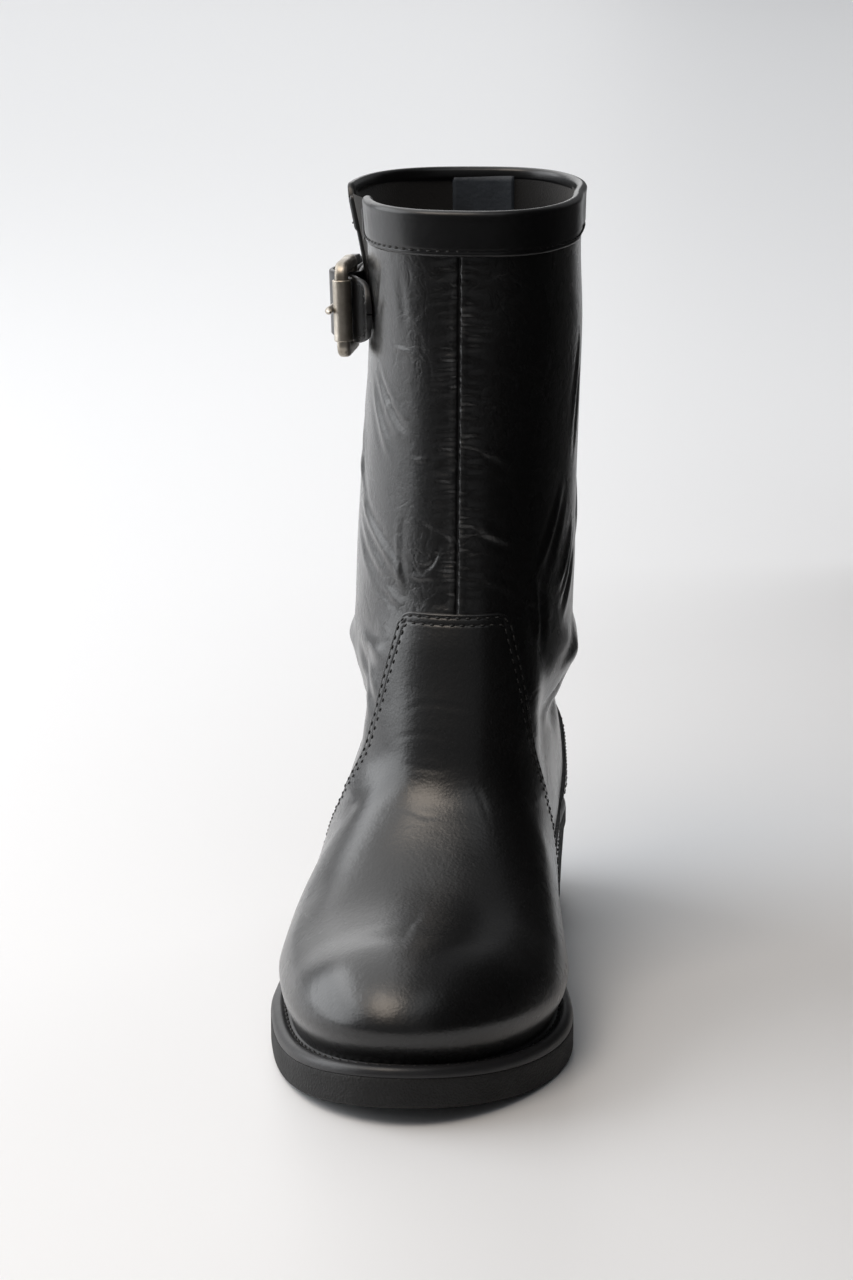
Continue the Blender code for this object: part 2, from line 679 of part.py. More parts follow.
def build_upper(material):
    """Hollow upper: outer skin with its steps, rolled collar, inner skin, open underneath."""
    rise = np.linspace(0.0, 2.0, 161)
    fine = column_points(rise)
    wanted = stepped_rises(fine, rise)
    skin = along_columns(fine, rise, wanted)
    normal = normals_of(skin)
    outer = skin + normal * overlay_lift(len(skin))[..., None]
    inner_rows = np.linspace(0.0, len(skin) - 1, INNER_ROWS).astype(int)[::-1]
    inner = skin[inner_rows] - normal[inner_rows] * WALL
    foot_x, foot_y = plan_points(foot_turns(), -WELT_REACH)
    foot = np.stack([foot_x, foot_y, outsole_top(foot_y) + GAP], axis=-1)
    foot_x, foot_y = plan_points(foot_turns(), -WELT_REACH - WALL)
    foot_inner = np.stack([foot_x, foot_y, outsole_top(foot_y) + GAP], axis=-1)
    inner[-1] = np.stack([foot_x, foot_y, welt_top(foot_y)], axis=-1)
    rim = (outer[-1] + inner[0]) / 2.0 + np.array([0.0, 0.0, 0.35 * WALL])
    rings = np.concatenate([[foot], outer, [rim], inner, [foot_inner]])
    upper = ring_body("upper", rings, material)
    cut_away(upper, slit_cutter())
    return upper


def slit_edges(z):
    """Front and back edge of the slit at height z, which close to its rounded tip."""
    share = np.clip((z - GUSSET_TIP) / (BOOT_HEIGHT - GUSSET_TIP), 0.0, 1.2)
    middle = 0.5 * (GUSSET_FRONT + GUSSET_BACK)
    half = 0.5 * (GUSSET_BACK - GUSSET_FRONT) * share ** 0.9
    return middle - half, middle + half


def slit_cutter():
    """Wedge that cuts the slit on the lateral side."""
    heights = np.linspace(GUSSET_TIP + 0.0005, BOOT_HEIGHT + 0.008, 9)
    front, back = slit_edges(heights)
    outline = np.concatenate([np.stack([front, heights], axis=-1),
                              np.stack([back, heights], axis=-1)[::-1]])
    sections = []
    for x in (-0.075, -0.015):
        sections.append(np.column_stack([np.full(len(outline), x), outline]))
    cutter = swept_body("slit_cutter", sections, None)
    return cutter


def cut_away(body, cutter):
    """Cut the cutter's shape out of the body."""
    cutter.hide_render = True
    cutter.display_type = "WIRE"
    cut = body.modifiers.new("cut_" + cutter.name, "BOOLEAN")
    cut.operation = "DIFFERENCE"
    cut.object = cutter
    cut.solver = "EXACT"


def outward(points):
    """Outward direction of the boot's form at points on it."""
    step = 0.0004
    slopes = []
    for axis in range(3):
        move = np.zeros(3)
        move[axis] = step
        high = boot_form(*np.moveaxis(points + move, -1, 0))
        low = boot_form(*np.moveaxis(points - move, -1, 0))
        slopes.append(high - low)
    slope = np.stack(slopes, axis=-1)
    return slope / np.linalg.norm(slope, axis=-1, keepdims=True)


def on_side(y, z, lift):
    """Point over the lateral side of the shaft, lift above its leather."""
    y, z, lift = np.broadcast_arrays(np.asarray(y, float), z, lift)
    near = np.zeros(y.shape)
    far = np.full(y.shape, 0.08)
    for _ in range(26):
        reach = (near + far) / 2.0
        inside = boot_form(-reach, y, z) < 0.0
        near = np.where(inside, reach, near)
        far = np.where(inside, far, reach)
    points = np.stack([-near, y, z], axis=-1)
    return points + outward(points) * lift[..., None]


def on_back(x, z, lift):
    """Point over the back of the shaft, lift above its leather."""
    x, z, lift = np.broadcast_arrays(np.asarray(x, float), z, lift)
    near = np.zeros(x.shape)
    far = np.full(x.shape, 0.12)
    for _ in range(26):
        reach = (near + far) / 2.0
        inside = boot_form(x, SHAFT_SETBACK + reach, z) < 0.0
        near = np.where(inside, reach, near)
        far = np.where(inside, far, reach)
    points = np.stack([x, SHAFT_SETBACK + near, z], axis=-1)
    return points + outward(points) * lift[..., None]


def build_gusset(material):
    """Soft wedge of leather sewn behind the slit's two edges."""
    heights = np.linspace(GUSSET_TIP - SEWN_EDGE, BOOT_HEIGHT - 0.002, 10)
    front, back = slit_edges(heights)
    share = np.linspace(0.0, 1.0, 9)
    sections = []
    for z, low, high in zip(heights, front - SEWN_EDGE, back + SEWN_EDGE):
        y = low + (high - low) * share
        face = on_side(y, z, -WALL - LAYER_GAP)
        inside = on_side(y, z, -WALL - LAYER_GAP - GUSSET_THICK)
        sections.append(np.concatenate([face, inside[::-1]]))
    return swept_body("gusset", sections, material)


def build_patch(material):
    """Reinforcing strip on the lining inside the back."""
    heights = np.linspace(BOOT_HEIGHT - 0.006 - PATCH_LENGTH, BOOT_HEIGHT - 0.006, 8)
    x = np.linspace(-0.5, 0.5, 7) * PATCH_WIDTH
    sections = []
    for z in heights:
        face = on_back(x, z, -WALL - LAYER_GAP)
        inside = on_back(x, z, -WALL - LAYER_GAP - GUSSET_THICK)
        sections.append(np.concatenate([face, inside[::-1]]))
    return swept_body("lining_patch", sections, material)


def unit(vector):
    """Vector of length 1."""
    return vector / np.linalg.norm(vector, axis=-1, keepdims=True)


def buckle_frame_axes():
    """Middle of the buckle's plane, and its directions backwards, up and outwards."""
    front = on_side(ROLLER_SET, STRAP_HEIGHT, ROLLER_LIFT)
    back = on_side(HEEL_BAR_SET, STRAP_HEIGHT, HEEL_BAR_LIFT)
    middle_y = 0.5 * (ROLLER_SET + HEEL_BAR_SET)
    high = on_side(middle_y, STRAP_HEIGHT + 0.5 * STRAP_WIDTH, 0.0)
    low = on_side(middle_y, STRAP_HEIGHT - 0.5 * STRAP_WIDTH, 0.0)
    rear = unit(back - front)
    up = high - low
    up = unit(up - rear * np.dot(up, rear))
    out = np.cross(up, rear)
    if out[0] > 0.0:
        out = -out
    return 0.5 * (front + back), rear, up, out


def in_buckle(rear, up, out):
    """Point at distances backwards, up and outwards from the buckle's middle."""
    middle, to_rear, to_up, to_out = buckle_frame_axes()
    rear, up, out = np.broadcast_arrays(np.asarray(rear, float), up, out)
    return middle + rear[..., None] * to_rear + up[..., None] * to_up + out[..., None] * to_out


def half_span():
    """Half the distance between the roller's bar and the heel bar."""
    middle, rear, _, _ = buckle_frame_axes()
    back = on_side(HEEL_BAR_SET, STRAP_HEIGHT, HEEL_BAR_LIFT)
    return float(np.dot(back - middle, rear))


def tube(path, radius, sides, up=(0.0, 0.0, 1.0)):
    """Round sections along a path, each square to it."""
    path = np.asarray(path)
    radius = np.broadcast_to(radius, len(path))
    ahead = unit(np.gradient(path, axis=0))
    side = unit(np.cross(ahead, np.asarray(up)))
    top = np.cross(side, ahead)
    angle = np.arange(sides) * 2.0 * math.pi / sides
    ring = np.cos(angle)[None, :, None] * side[:, None, :] + np.sin(angle)[None, :, None] * top[:, None, :]
    return path[:, None, :] + ring * radius[:, None, None]


def build_frame(material):
    """Cast buckle frame: one closed bar with rounded corners."""
    corner = FRAME_CORNER
    wide = half_span() - corner
    tall = 0.5 * FRAME_TALL - BAR_RADIUS - corner
    angle = np.linspace(0.0, math.pi / 2, 5)
    rear, up = [], []
    for turn, (sign_rear, sign_up) in enumerate(((1, 1), (-1, 1), (-1, -1), (1, -1))):
        rear.append(sign_rear * wide + corner * np.cos(angle + turn * math.pi / 2))
        up.append(sign_up * tall + corner * np.sin(angle + turn * math.pi / 2))
    rear = np.concatenate(rear)
    up = np.concatenate(up)
    path = in_buckle(rear, up, 0.0)
    ahead = unit(np.roll(path, -1, axis=0) - np.roll(path, 1, axis=0))
    out = buckle_frame_axes()[3]
    side = np.cross(ahead, out)
    angle = np.arange(10) * 2.0 * math.pi / 10
    ring = np.cos(angle)[None, :, None] * side[:, None, :] + np.sin(angle)[None, :, None] * out
    return ring_body("buckle_frame", path[:, None, :] + ring * BAR_RADIUS, material)


def build_roller(material):
    """Tube that turns on the frame's front bar."""
    angle = np.arange(16) * 2.0 * math.pi / 16
    span = half_span()
    half = 0.5 * ROLLER_LENGTH
    profile = ((ROLLER_BORE, -half), (ROLLER_RADIUS - 0.0003, -half), (ROLLER_RADIUS, -half + 0.0004),
               (ROLLER_RADIUS, half - 0.0004), (ROLLER_RADIUS - 0.0003, half), (ROLLER_BORE, half))
    rings = []
    for radius, up in profile:
        rings.append(in_buckle(-span + radius * np.cos(angle), up, radius * np.sin(angle)))
    return ring_body("buckle_roller", rings, material)


def prong_path():
    """Middle line of the prong: a hook round the heel bar, then over the roller."""
    span = half_span()
    loop = BAR_RADIUS + GAP + PRONG_RADIUS
    angle = np.radians(np.linspace(-150.0, 105.0, 11))
    hook = np.stack([span + loop * np.cos(angle), loop * np.sin(angle)], axis=-1)
    over = ROLLER_RADIUS + GAP + PRONG_RADIUS
    share = np.linspace(0.0, 1.0, 8)[1:]
    shank_rear = hook[-1, 0] + (-span - hook[-1, 0]) * share
    shank_out = hook[-1, 1] + (over - hook[-1, 1]) * share
    tip = np.array([[-span - 0.0025, over - 0.0003], [-span - 0.0045, over - 0.0012]])
    return np.concatenate([hook, np.stack([shank_rear, shank_out], axis=-1), tip])


def prong_body(name, grow, material):
    """Prong, or its shape grown by a clearance."""
    path = prong_path()
    path[0] += unit(path[0] - path[1]) * grow
    path[-1] += unit(path[-1] - path[-2]) * grow
    radius = np.full(len(path), PRONG_RADIUS) + grow
    radius[-1] *= 0.6
    points = in_buckle(path[:, 0], 0.0, path[:, 1])
    sections = tube(points, radius, 10, up=buckle_frame_axes()[2])
    return swept_body(name, sections, material)


def band_sections(path, up, width, thick, taper):
    """Flat sections along a path. taper narrows each section, for rounded ends."""
    ahead = unit(np.gradient(path, axis=0))
    out = unit(np.cross(up, ahead))
    round_off = 0.35 * thick
    sections = []
    for middle, rise, face, narrow in zip(path, up, out, taper):
        half = 0.5 * width * narrow
        across = (-half, -half + round_off, half - round_off, half, half, half - round_off, -half + round_off, -half)
        deep = (-0.5, -1.0, -1.0, -0.5, 0.5, 1.0, 1.0, 0.5)
        sections.append([middle + rise * a + face * d * 0.5 * thick for a, d in zip(across, deep)])
    return np.array(sections)


def on_band(y, lift, width):
    """Point on the middle of a flat strap over the shaft's side, its face lift off the leather.

    A flat strap bridges a hollow between its edges and rides on the middle of a swell.
    """
    y = np.asarray(y, float)
    high = on_side(y, STRAP_HEIGHT + 0.5 * width, 0.0)
    low = on_side(y, STRAP_HEIGHT - 0.5 * width, 0.0)
    middle = on_side(y, STRAP_HEIGHT, 0.0)
    chord = 0.5 * (high + low)
    out = outward(middle)
    bridge = np.clip(np.sum((chord - middle) * out, axis=-1), 0.0, None)
    return middle + out * (bridge + lift)[..., None]


def side_up(y, width):
    """Direction across a strap that lies on the shaft's side at y."""
    high = on_side(y, STRAP_HEIGHT + 0.5 * width, 0.0)
    low = on_side(y, STRAP_HEIGHT - 0.5 * width, 0.0)
    return unit(high - low)


def smooth_path(points, count):
    """Smooth curve through points, with evenly spread places."""
    points = np.asarray(points)
    step = np.linalg.norm(np.diff(points, axis=0), axis=1)
    run = np.concatenate([[0.0], np.cumsum(step)])
    at = np.linspace(0.0, run[-1], count)
    return np.stack([smooth_between(at, run, points[:, k]) for k in range(3)], axis=-1)


def strap_path():
    """Middle line of the strap: sewn end, under the roller, over the heel bar, keeper, tail."""
    span = half_span()
    half = 0.5 * STRAP_THICK
    over_bar = BAR_RADIUS + 2.0 * (GAP + PRONG_RADIUS) + half
    tail = CHAPE_STACK + KEEPER_THICK + 2.0 * GAP + half
    sewn = half + LAYER_GAP
    points = [on_band(y, sewn, STRAP_WIDTH) for y in np.linspace(STRAP_START, SEWN_TO, 3)]
    points += [in_buckle(-span, 0.0, -ROLLER_RADIUS - GAP - half - 2.0 * SLACK),
              in_buckle(-0.1 * span, 0.0, 0.15 * over_bar),
              in_buckle(span, 0.0, over_bar + SLACK),
              on_band(KEEPER_SET - KEEPER_WIDTH, tail + 3.0 * SLACK, STRAP_WIDTH),
              on_band(KEEPER_SET, tail + SLACK, STRAP_WIDTH),
              on_band(0.5 * (KEEPER_SET + STRAP_END), tail, STRAP_WIDTH),
              on_band(STRAP_END, tail, STRAP_WIDTH)]
    return smooth_path(points, STRAP_SECTIONS)


def strap_up(path, width):
    """Directions across a strap: the shaft's side, and the buckle's own near the buckle."""
    middle, rear, up, _ = buckle_frame_axes()
    away = np.abs((path - middle) @ rear) - half_span()
    mix = ease(away / 0.012)[:, None]
    return unit(side_up(path[:, 1], width) * mix + up * (1.0 - mix))


def build_strap(material, prong_cutter):
    """Strap from the front panel through the buckle, with round ends."""
    path = strap_path()
    up = strap_up(path, STRAP_WIDTH)
    run = np.linspace(0.0, 1.0, len(path))
    length = float(np.sum(np.linalg.norm(np.diff(path, axis=0), axis=1)))
    end = np.minimum(run, 1.0 - run) * length / (0.5 * STRAP_WIDTH)
    taper = np.clip(np.sqrt(1.0 - np.clip(1.0 - end - 0.03, 0.0, 1.0) ** 2), 0.2, 1.0)
    strap = swept_body("strap", band_sections(path, up, STRAP_WIDTH, STRAP_THICK, taper), material)
    cut_away(strap, prong_cutter)
    return strap


def build_chape(material, prong_cutter):
    """Short strap folded round the heel bar and sewn to the back panel."""
    span = half_span()
    half = 0.5 * CHAPE_THICK
    wrap = BAR_RADIUS + GAP + half
    angle = np.radians(np.linspace(-95.0, -310.0, 11))
    fold = in_buckle(span + wrap * np.cos(angle), 0.0, wrap * np.sin(angle))
    rest = np.linspace(CHAPE_END, HEEL_BAR_SET + 0.007, 9)
    lower = on_band(rest, half + LAYER_GAP, STRAP_WIDTH)
    upper = on_band(rest[::-1], half + LAYER_GAP + CHAPE_THICK + GAP, STRAP_WIDTH)
    upper[0] += 2.0 * SLACK * unit(upper[0] - lower[-1])
    path = np.concatenate([lower, fold, upper])
    up = strap_up(path, STRAP_WIDTH)
    sections = band_sections(path, up, CHAPE_WIDTH, CHAPE_THICK, np.ones(len(path)))
    chape = swept_body("buckle_chape", sections, material)
    cut_away(chape, prong_cutter)
    return chape


def build_keeper(material):
    """Flat loop that holds the strap's tail."""
    path = strap_path()
    near = int(np.argmin(np.abs(path[:, 1] - KEEPER_SET)))
    ahead = unit(path[near + 1] - path[near - 1])
    up = strap_up(path, STRAP_WIDTH)[near]
    out = unit(np.cross(up, ahead))
    inner_tall = 0.5 * STRAP_WIDTH + 2.0 * GAP
    inner_deep = 0.5 * STRAP_THICK + 1.5 * GAP
    rings = []
    for thick, shift in ((0.0, -0.5), (KEEPER_THICK, -0.5), (KEEPER_THICK, 0.5), (0.0, 0.5)):
        tall = inner_tall + thick
        deep = inner_deep + thick
        corner = 0.0006 + thick
        ring = []
        for turn, (a, b) in enumerate(((1, 1), (-1, 1), (-1, -1), (1, -1))):
            for angle in np.linspace(0.0, math.pi / 2, 3) + turn * math.pi / 2:
                rise = a * (tall - corner) + corner * math.cos(angle)
                face = b * (deep - corner) + corner * math.sin(angle)
                ring.append(path[near] + up * rise + out * face + ahead * shift * KEEPER_WIDTH)
        rings.append(ring)
    return ring_body("keeper", rings, material)


def main():
    for thing in list(bpy.data.objects):
        bpy.data.objects.remove(thing, do_unlink=True)
    leather = make_material("black_leather", (0.012, 0.012, 0.014), 0.28)
    strap_leather = make_material("strap_leather", (0.011, 0.011, 0.012), 0.34)
    suede = make_material("gusset_suede", (0.008, 0.008, 0.008), 0.9)
    rubber = make_material("sole_rubber", (0.020, 0.020, 0.021), 0.75)
    edge = make_material("welt_edge", (0.022, 0.021, 0.022), 0.4)
    board = make_material("insole_leather", (0.03, 0.028, 0.027), 0.7)
    patch = make_material("patch_leather", (0.10, 0.115, 0.135), 0.55)
    nickel = make_material("antique_nickel", (0.36, 0.33, 0.29), 0.32, 1.0)
    build_outsole(rubber)
    build_welt(edge)
    build_heel(rubber)
    build_lift(rubber)
    build_insole(board)
    build_upper(leather)
    build_gusset(suede)
    build_patch(patch)
    prong_cutter = prong_body("prong_cutter", 0.00035, None)
    build_frame(nickel)
    build_roller(nickel)
    prong_body("buckle_prong", 0.0, nickel)
    build_strap(strap_leather, prong_cutter)
    build_chape(strap_leather, prong_cutter)
    build_keeper(strap_leather)


main()
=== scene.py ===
import math

import bpy
import numpy as np
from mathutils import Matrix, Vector


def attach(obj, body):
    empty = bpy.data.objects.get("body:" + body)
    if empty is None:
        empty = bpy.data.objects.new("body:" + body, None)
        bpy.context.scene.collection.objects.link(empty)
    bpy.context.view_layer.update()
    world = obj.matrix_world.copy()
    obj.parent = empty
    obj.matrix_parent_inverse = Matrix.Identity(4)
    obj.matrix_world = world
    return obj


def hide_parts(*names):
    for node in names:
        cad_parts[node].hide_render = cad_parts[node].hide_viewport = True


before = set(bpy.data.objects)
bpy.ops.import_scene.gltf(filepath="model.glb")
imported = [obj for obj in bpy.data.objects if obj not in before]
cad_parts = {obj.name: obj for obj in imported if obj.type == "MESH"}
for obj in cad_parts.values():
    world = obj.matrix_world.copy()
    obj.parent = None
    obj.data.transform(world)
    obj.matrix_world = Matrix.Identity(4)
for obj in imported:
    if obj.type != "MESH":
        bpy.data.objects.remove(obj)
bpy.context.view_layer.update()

# Camera: the photo's viewpoint and lens, in front of the toe, 14.7 degrees down. It is
# turned 2.6 degrees to the left so that the boot stands in the middle of the picture.
camera = bpy.data.objects.new("camera", bpy.data.cameras.new("camera"))
bpy.context.collection.objects.link(camera)
bpy.context.scene.camera = camera
camera.data.lens = 104.06
camera.location = (0.1003, -1.3920, 0.470)
aim = Vector((-0.08365, 0.96387, -0.25291))
camera.rotation_euler = aim.to_track_quat("-Z", "Y").to_euler()


# Outsole: rubber with a fine cellular grain, moulded in one piece with toe spring, flat
# forefoot and arch. It is cemented and stitched to the welt, with a rounded lower edge.
LENGTH, HEEL_BACK, BALL_WIDTH, HEEL_WIDTH = 0.280, 0.036, 0.1075, 0.070
TOE_ROUND, HEEL_ROUND = 0.089, 0.036
TOE_TIP = HEEL_BACK - LENGTH
TOE_MID = TOE_TIP + TOE_ROUND
HEEL_MID = HEEL_BACK - HEEL_ROUND
FLAT_FRONT = TOE_TIP + 0.21 * LENGTH
FLAT_BACK = TOE_TIP + 0.435 * LENGTH
BREAST = TOE_TIP + 0.735 * LENGTH
FORE_THICK, REAR_THICK, HEEL_HEIGHT, TOE_SPRING = 0.0108, 0.0075, 0.030, 0.007
WELT_THICK, WELT_REACH, GAP = 0.0036, 0.0072, 0.0003

# station (share of LENGTH from the toe), lateral edge, medial edge (shares of width), width
SOLE_PLAN = np.array((
    (0.000, -0.585, 0.395, BALL_WIDTH),
    (0.140, -0.570, 0.428, BALL_WIDTH),
    (0.230, -0.570, 0.436, BALL_WIDTH),
    (0.330, -0.580, 0.415, BALL_WIDTH),
    (0.410, -0.568, 0.380, BALL_WIDTH),
    (0.500, -0.508, 0.322, BALL_WIDTH),
    (0.600, -0.425, 0.285, BALL_WIDTH),
    (0.700, -0.548, 0.440, HEEL_WIDTH),
    (0.800, -0.516, 0.478, HEEL_WIDTH),
    (0.880, -0.507, 0.493, HEEL_WIDTH),
    (1.000, -0.507, 0.493, HEEL_WIDTH),
)).T


def smooth_between(at, places, values):
    """Cubic v0 + t(s0 + t(3d - 2 s0 - s1 + t(s0 + s1 - 2d))) between neighbouring values."""
    slopes = np.gradient(values, places)
    at = np.clip(at, places[0], places[-1])
    k = np.clip(np.searchsorted(places, at, side="right") - 1, 0, len(places) - 2)
    span = places[k + 1] - places[k]
    t = (at - places[k]) / span
    rise = values[k + 1] - values[k]
    start = slopes[k] * span
    end = slopes[k + 1] * span
    return values[k] + t * (start + t * (3 * rise - 2 * start - end + t * (start + end - 2 * rise)))


def ease(t):
    """3t^2 - 2t^3, held at 0 and 1 outside."""
    t = np.clip(t, 0.0, 1.0)
    return t * t * (3.0 - 2.0 * t)


def outsole_bottom(y):
    """Underside: spring s^2 in front of the flat forefoot, eased rise to the heel behind it."""
    spring = np.clip((FLAT_FRONT - y) / (FLAT_FRONT - TOE_TIP), 0.0, None) ** 2
    return TOE_SPRING * spring + HEEL_HEIGHT * ease((y - FLAT_BACK) / (BREAST - FLAT_BACK))


def outsole_top(y):
    """Underside plus the thickness, which eases from forefoot to heel."""
    thick = FORE_THICK + (REAR_THICK - FORE_THICK) * ease((y - FLAT_BACK) / (BREAST - FLAT_BACK))
    return outsole_bottom(y) + thick


def sole_edges(y):
    """Lateral and medial edge at y, from the plan table."""
    station, lateral, medial, width = SOLE_PLAN
    share = (y - TOE_TIP) / LENGTH
    return (smooth_between(share, station, lateral * width),
            smooth_between(share, station, medial * width))


# station (share of LENGTH), ridge x (of BALL_WIDTH), ridge height (of 100 mm), lateral and
# medial swell (of BALL_WIDTH), lateral and medial power of the section
FOOT_FORM = np.array((
    (0.000, -0.095, 0.395, 0.040, 0.040, 2.4, 2.4),
    (0.120, -0.085, 0.415, 0.042, 0.044, 2.5, 2.5),
    (0.200, -0.070, 0.390, 0.040, 0.046, 2.5, 2.6),
    (0.270, -0.055, 0.420, 0.038, 0.046, 2.45, 2.5),
    (0.330, -0.040, 0.510, 0.038, 0.048, 2.2, 2.4),
    (0.385, -0.026, 0.640, 0.042, 0.052, 1.95, 2.3),
    (0.440, -0.012, 0.790, 0.052, 0.064, 1.74, 2.2),
    (0.510, 0.000, 0.920, 0.072, 0.086, 1.72, 2.2),
    (0.590, 0.004, 0.940, 0.084, 0.100, 1.95, 2.4),
    (0.690, 0.000, 0.860, 0.080, 0.100, 2.3, 2.7),
    (0.860, 0.000, 0.740, 0.062, 0.062, 2.3, 2.4),
    (1.000, 0.000, 0.720, 0.034, 0.034, 2.1, 2.1),
)).T


def foot_rows(y):
    """Ridge x, ridge height, swells and powers at y, from the foot table."""
    share = (y - TOE_TIP) / LENGTH
    scales = (BALL_WIDTH, 0.100, BALL_WIDTH, BALL_WIDTH, 1.0, 1.0)
    return [smooth_between(share, FOOT_FORM[0], column * scale)
            for column, scale in zip(FOOT_FORM[1:], scales)]


def plan_points(turn, grow):
    """Outline grown by grow: turn 0 toe, 0..1 lateral, 1 heel, 1..2 medial; arcs at both ends."""
    way = 1.0 - np.abs(1.0 - turn)
    toe = TOE_ROUND + grow
    heel = HEEL_ROUND + grow
    middle = HEEL_MID - TOE_MID
    total = (toe + heel) * math.pi / 2 + middle
    run = way * total
    toe_angle = np.clip(run / toe, 0.0, math.pi / 2)
    heel_angle = np.clip((total - run) / heel, 0.0, math.pi / 2)
    straight = np.clip(run - toe * math.pi / 2, 0.0, middle)
    y = TOE_MID - toe * np.cos(toe_angle) + straight + heel * np.cos(heel_angle)
    shut = np.sin(toe_angle) * np.sin(heel_angle)
    ridge = foot_rows(y)[0]
    lateral, medial = sole_edges(y)
    edge = np.where(turn <= 1.0, lateral - grow, medial + grow)
    return ridge + (edge - ridge) * shut, y


def finished(name, mesh, material):
    """The mesh, shaded smooth and with its material, as an object in the scene."""
    mesh.shade_smooth()
    mesh.materials.append(material)
    piece = bpy.data.objects.new(name, mesh)
    bpy.context.collection.objects.link(piece)
    return piece


def grid_quads(index, around):
    """Corners of the quads of a grid of vertex numbers; around joins last and first column."""
    if around:
        index = np.concatenate([index, index[:, :1]], axis=1)
    return np.stack([index[:-1, :-1], index[:-1, 1:], index[1:, 1:], index[1:, :-1]], axis=-1)


def make_sheet(name, points, material, around=False, keep=None, weld=0):
    """Grid of points, rows by columns, as one smooth mesh of quads.

    around joins the last column to the first; weld does so in the first rows only, by
    giving the last column there the first one's vertices. keep drops the faces that are False.
    """
    rows, columns = points.shape[:2]
    index = np.arange(rows * columns).reshape(rows, columns)
    index[:weld, -1] = index[:weld, 0]
    quads = grid_quads(index, around)
    quads = quads[keep] if keep is not None else quads.reshape(-1, 4)
    used, quads = np.unique(quads, return_inverse=True)
    quads = quads.reshape(-1, 4)
    mesh = bpy.data.meshes.new(name)
    mesh.vertices.add(len(used))
    mesh.vertices.foreach_set("co", points.reshape(-1, 3)[used].astype(np.float32).ravel())
    mesh.loops.add(quads.size)
    mesh.loops.foreach_set("vertex_index", quads.astype(np.int32).ravel())
    mesh.polygons.add(len(quads))
    mesh.polygons.foreach_set("loop_start", np.arange(0, quads.size, 4, dtype=np.int32))
    mesh.update(calc_edges=True)
    return finished(name, mesh, material)


def placed(piece, slot, *replaced):
    """The piece rides on the root body and stands for the named CAD nodes."""
    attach(piece, "root")
    if replaced:
        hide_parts(*replaced)
    return piece


def srgb(code):
    """Linear colour of an sRGB hex code: c/12.92, above 0.04045 ((c + 0.055)/1.055)^2.4."""
    values = [int(code[k:k + 2], 16) / 255.0 for k in (0, 2, 4)]
    return (*[c / 12.92 if c <= 0.04045 else ((c + 0.055) / 1.055) ** 2.4 for c in values], 1.0)


def add_node(tree, kind, inputs, **settings):
    """Node with its settings, and its inputs linked to sockets or set to constants."""
    node = tree.nodes.new(kind)
    for name, value in settings.items():
        setattr(node, name, value)
    for name, value in inputs.items():
        if isinstance(value, bpy.types.NodeSocket):
            tree.links.new(value, node.inputs[name])
        else:
            node.inputs[name].default_value = value
    return node


def new_material(name, **values):
    """Principled material with constants on its sockets, and its tree, shader and coordinates."""
    material = bpy.data.materials.new(name)
    material.use_nodes = True
    tree = material.node_tree
    shader = tree.nodes["Principled BSDF"]
    for socket, value in values.items():
        shader.inputs[socket.replace("_", " ")].default_value = value
    place = tree.nodes.new("ShaderNodeTexCoord").outputs["Object"]
    return material, tree, shader, place


def add_bump(tree, shader, layers):
    """Bump layers (height socket, depth in metres), one on top of the other."""
    normal = None
    for height, depth in layers:
        inputs = {"Height": height, "Distance": depth, "Strength": 1.0}
        if normal is not None:
            inputs["Normal"] = normal
        normal = add_node(tree, "ShaderNodeBump", inputs).outputs["Normal"]
    tree.links.new(normal, shader.inputs["Normal"])


def grained(name, layers, gloss=None, tones=None, contrast=(0.0, 1.0), pores=None, **values):
    """Material with bumps: noise (scale per metre, detail, depth in m) and pores (scale, depth).

    The first layer also spreads the roughness over gloss, and spread over contrast it mixes
    the two sRGB tones.
    """
    material, tree, shader, place = new_material(name, **values)
    bumps = []
    for scale, detail, depth in layers:
        grain = add_node(tree, "ShaderNodeTexNoise", {"Vector": place, "Scale": scale, "Detail": detail})
        bumps.append((grain.outputs["Fac"], depth))
    first = bumps[0][0]
    if gloss:
        reach = {"Value": first, "To Min": gloss[0], "To Max": gloss[1]}
        rough = add_node(tree, "ShaderNodeMapRange", reach)
        tree.links.new(rough.outputs["Result"], shader.inputs["Roughness"])
    if tones:
        reach = {"Value": first, "To Min": contrast[0], "To Max": contrast[1]}
        share = add_node(tree, "ShaderNodeMapRange", reach).outputs["Result"]
        mix = add_node(tree, "ShaderNodeMix", {"Factor": share}, data_type="RGBA")
        mix.inputs[6].default_value, mix.inputs[7].default_value = srgb(tones[0]), srgb(tones[1])
        tree.links.new(mix.outputs[2], shader.inputs["Base Color"])
    if pores:
        dots = add_node(tree, "ShaderNodeTexVoronoi", {"Vector": place, "Scale": pores[0]})
        bumps.append((dots.outputs["Distance"], pores[1]))
    add_bump(tree, shader, [(height, depth) for height, depth in bumps if depth])
    return material


# Microcellular rubber, moulded: matt with broad soft highlights. Its cells are drawn 0.9 mm wide,
# coarser than they are, so that they show.
rubber = grained("microcellular sole rubber", ((60.0, 4.0, 0.0), (420.0, 3.0, 0.00025)), gloss=(0.62, 0.86),
                 pores=(1100.0, 0.00022), Base_Color=srgb("0a0a0b"), Roughness=0.76, IOR=1.50)

turns = np.linspace(0.0, 2.0, 901)[:-1]


def sole_rings(profile):
    """Rings round the outline: each row is a pair, how far out, and height as a function of y."""
    rings = []
    for grow, height in profile:
        x, y = plan_points(turns, grow)
        rings.append(np.stack([x, y, height(y)], axis=-1))
    return np.array(rings)


def outsole_side(y, less):
    """Height of the outsole's side less a part for its edges."""
    return outsole_top(y) - outsole_bottom(y) - less


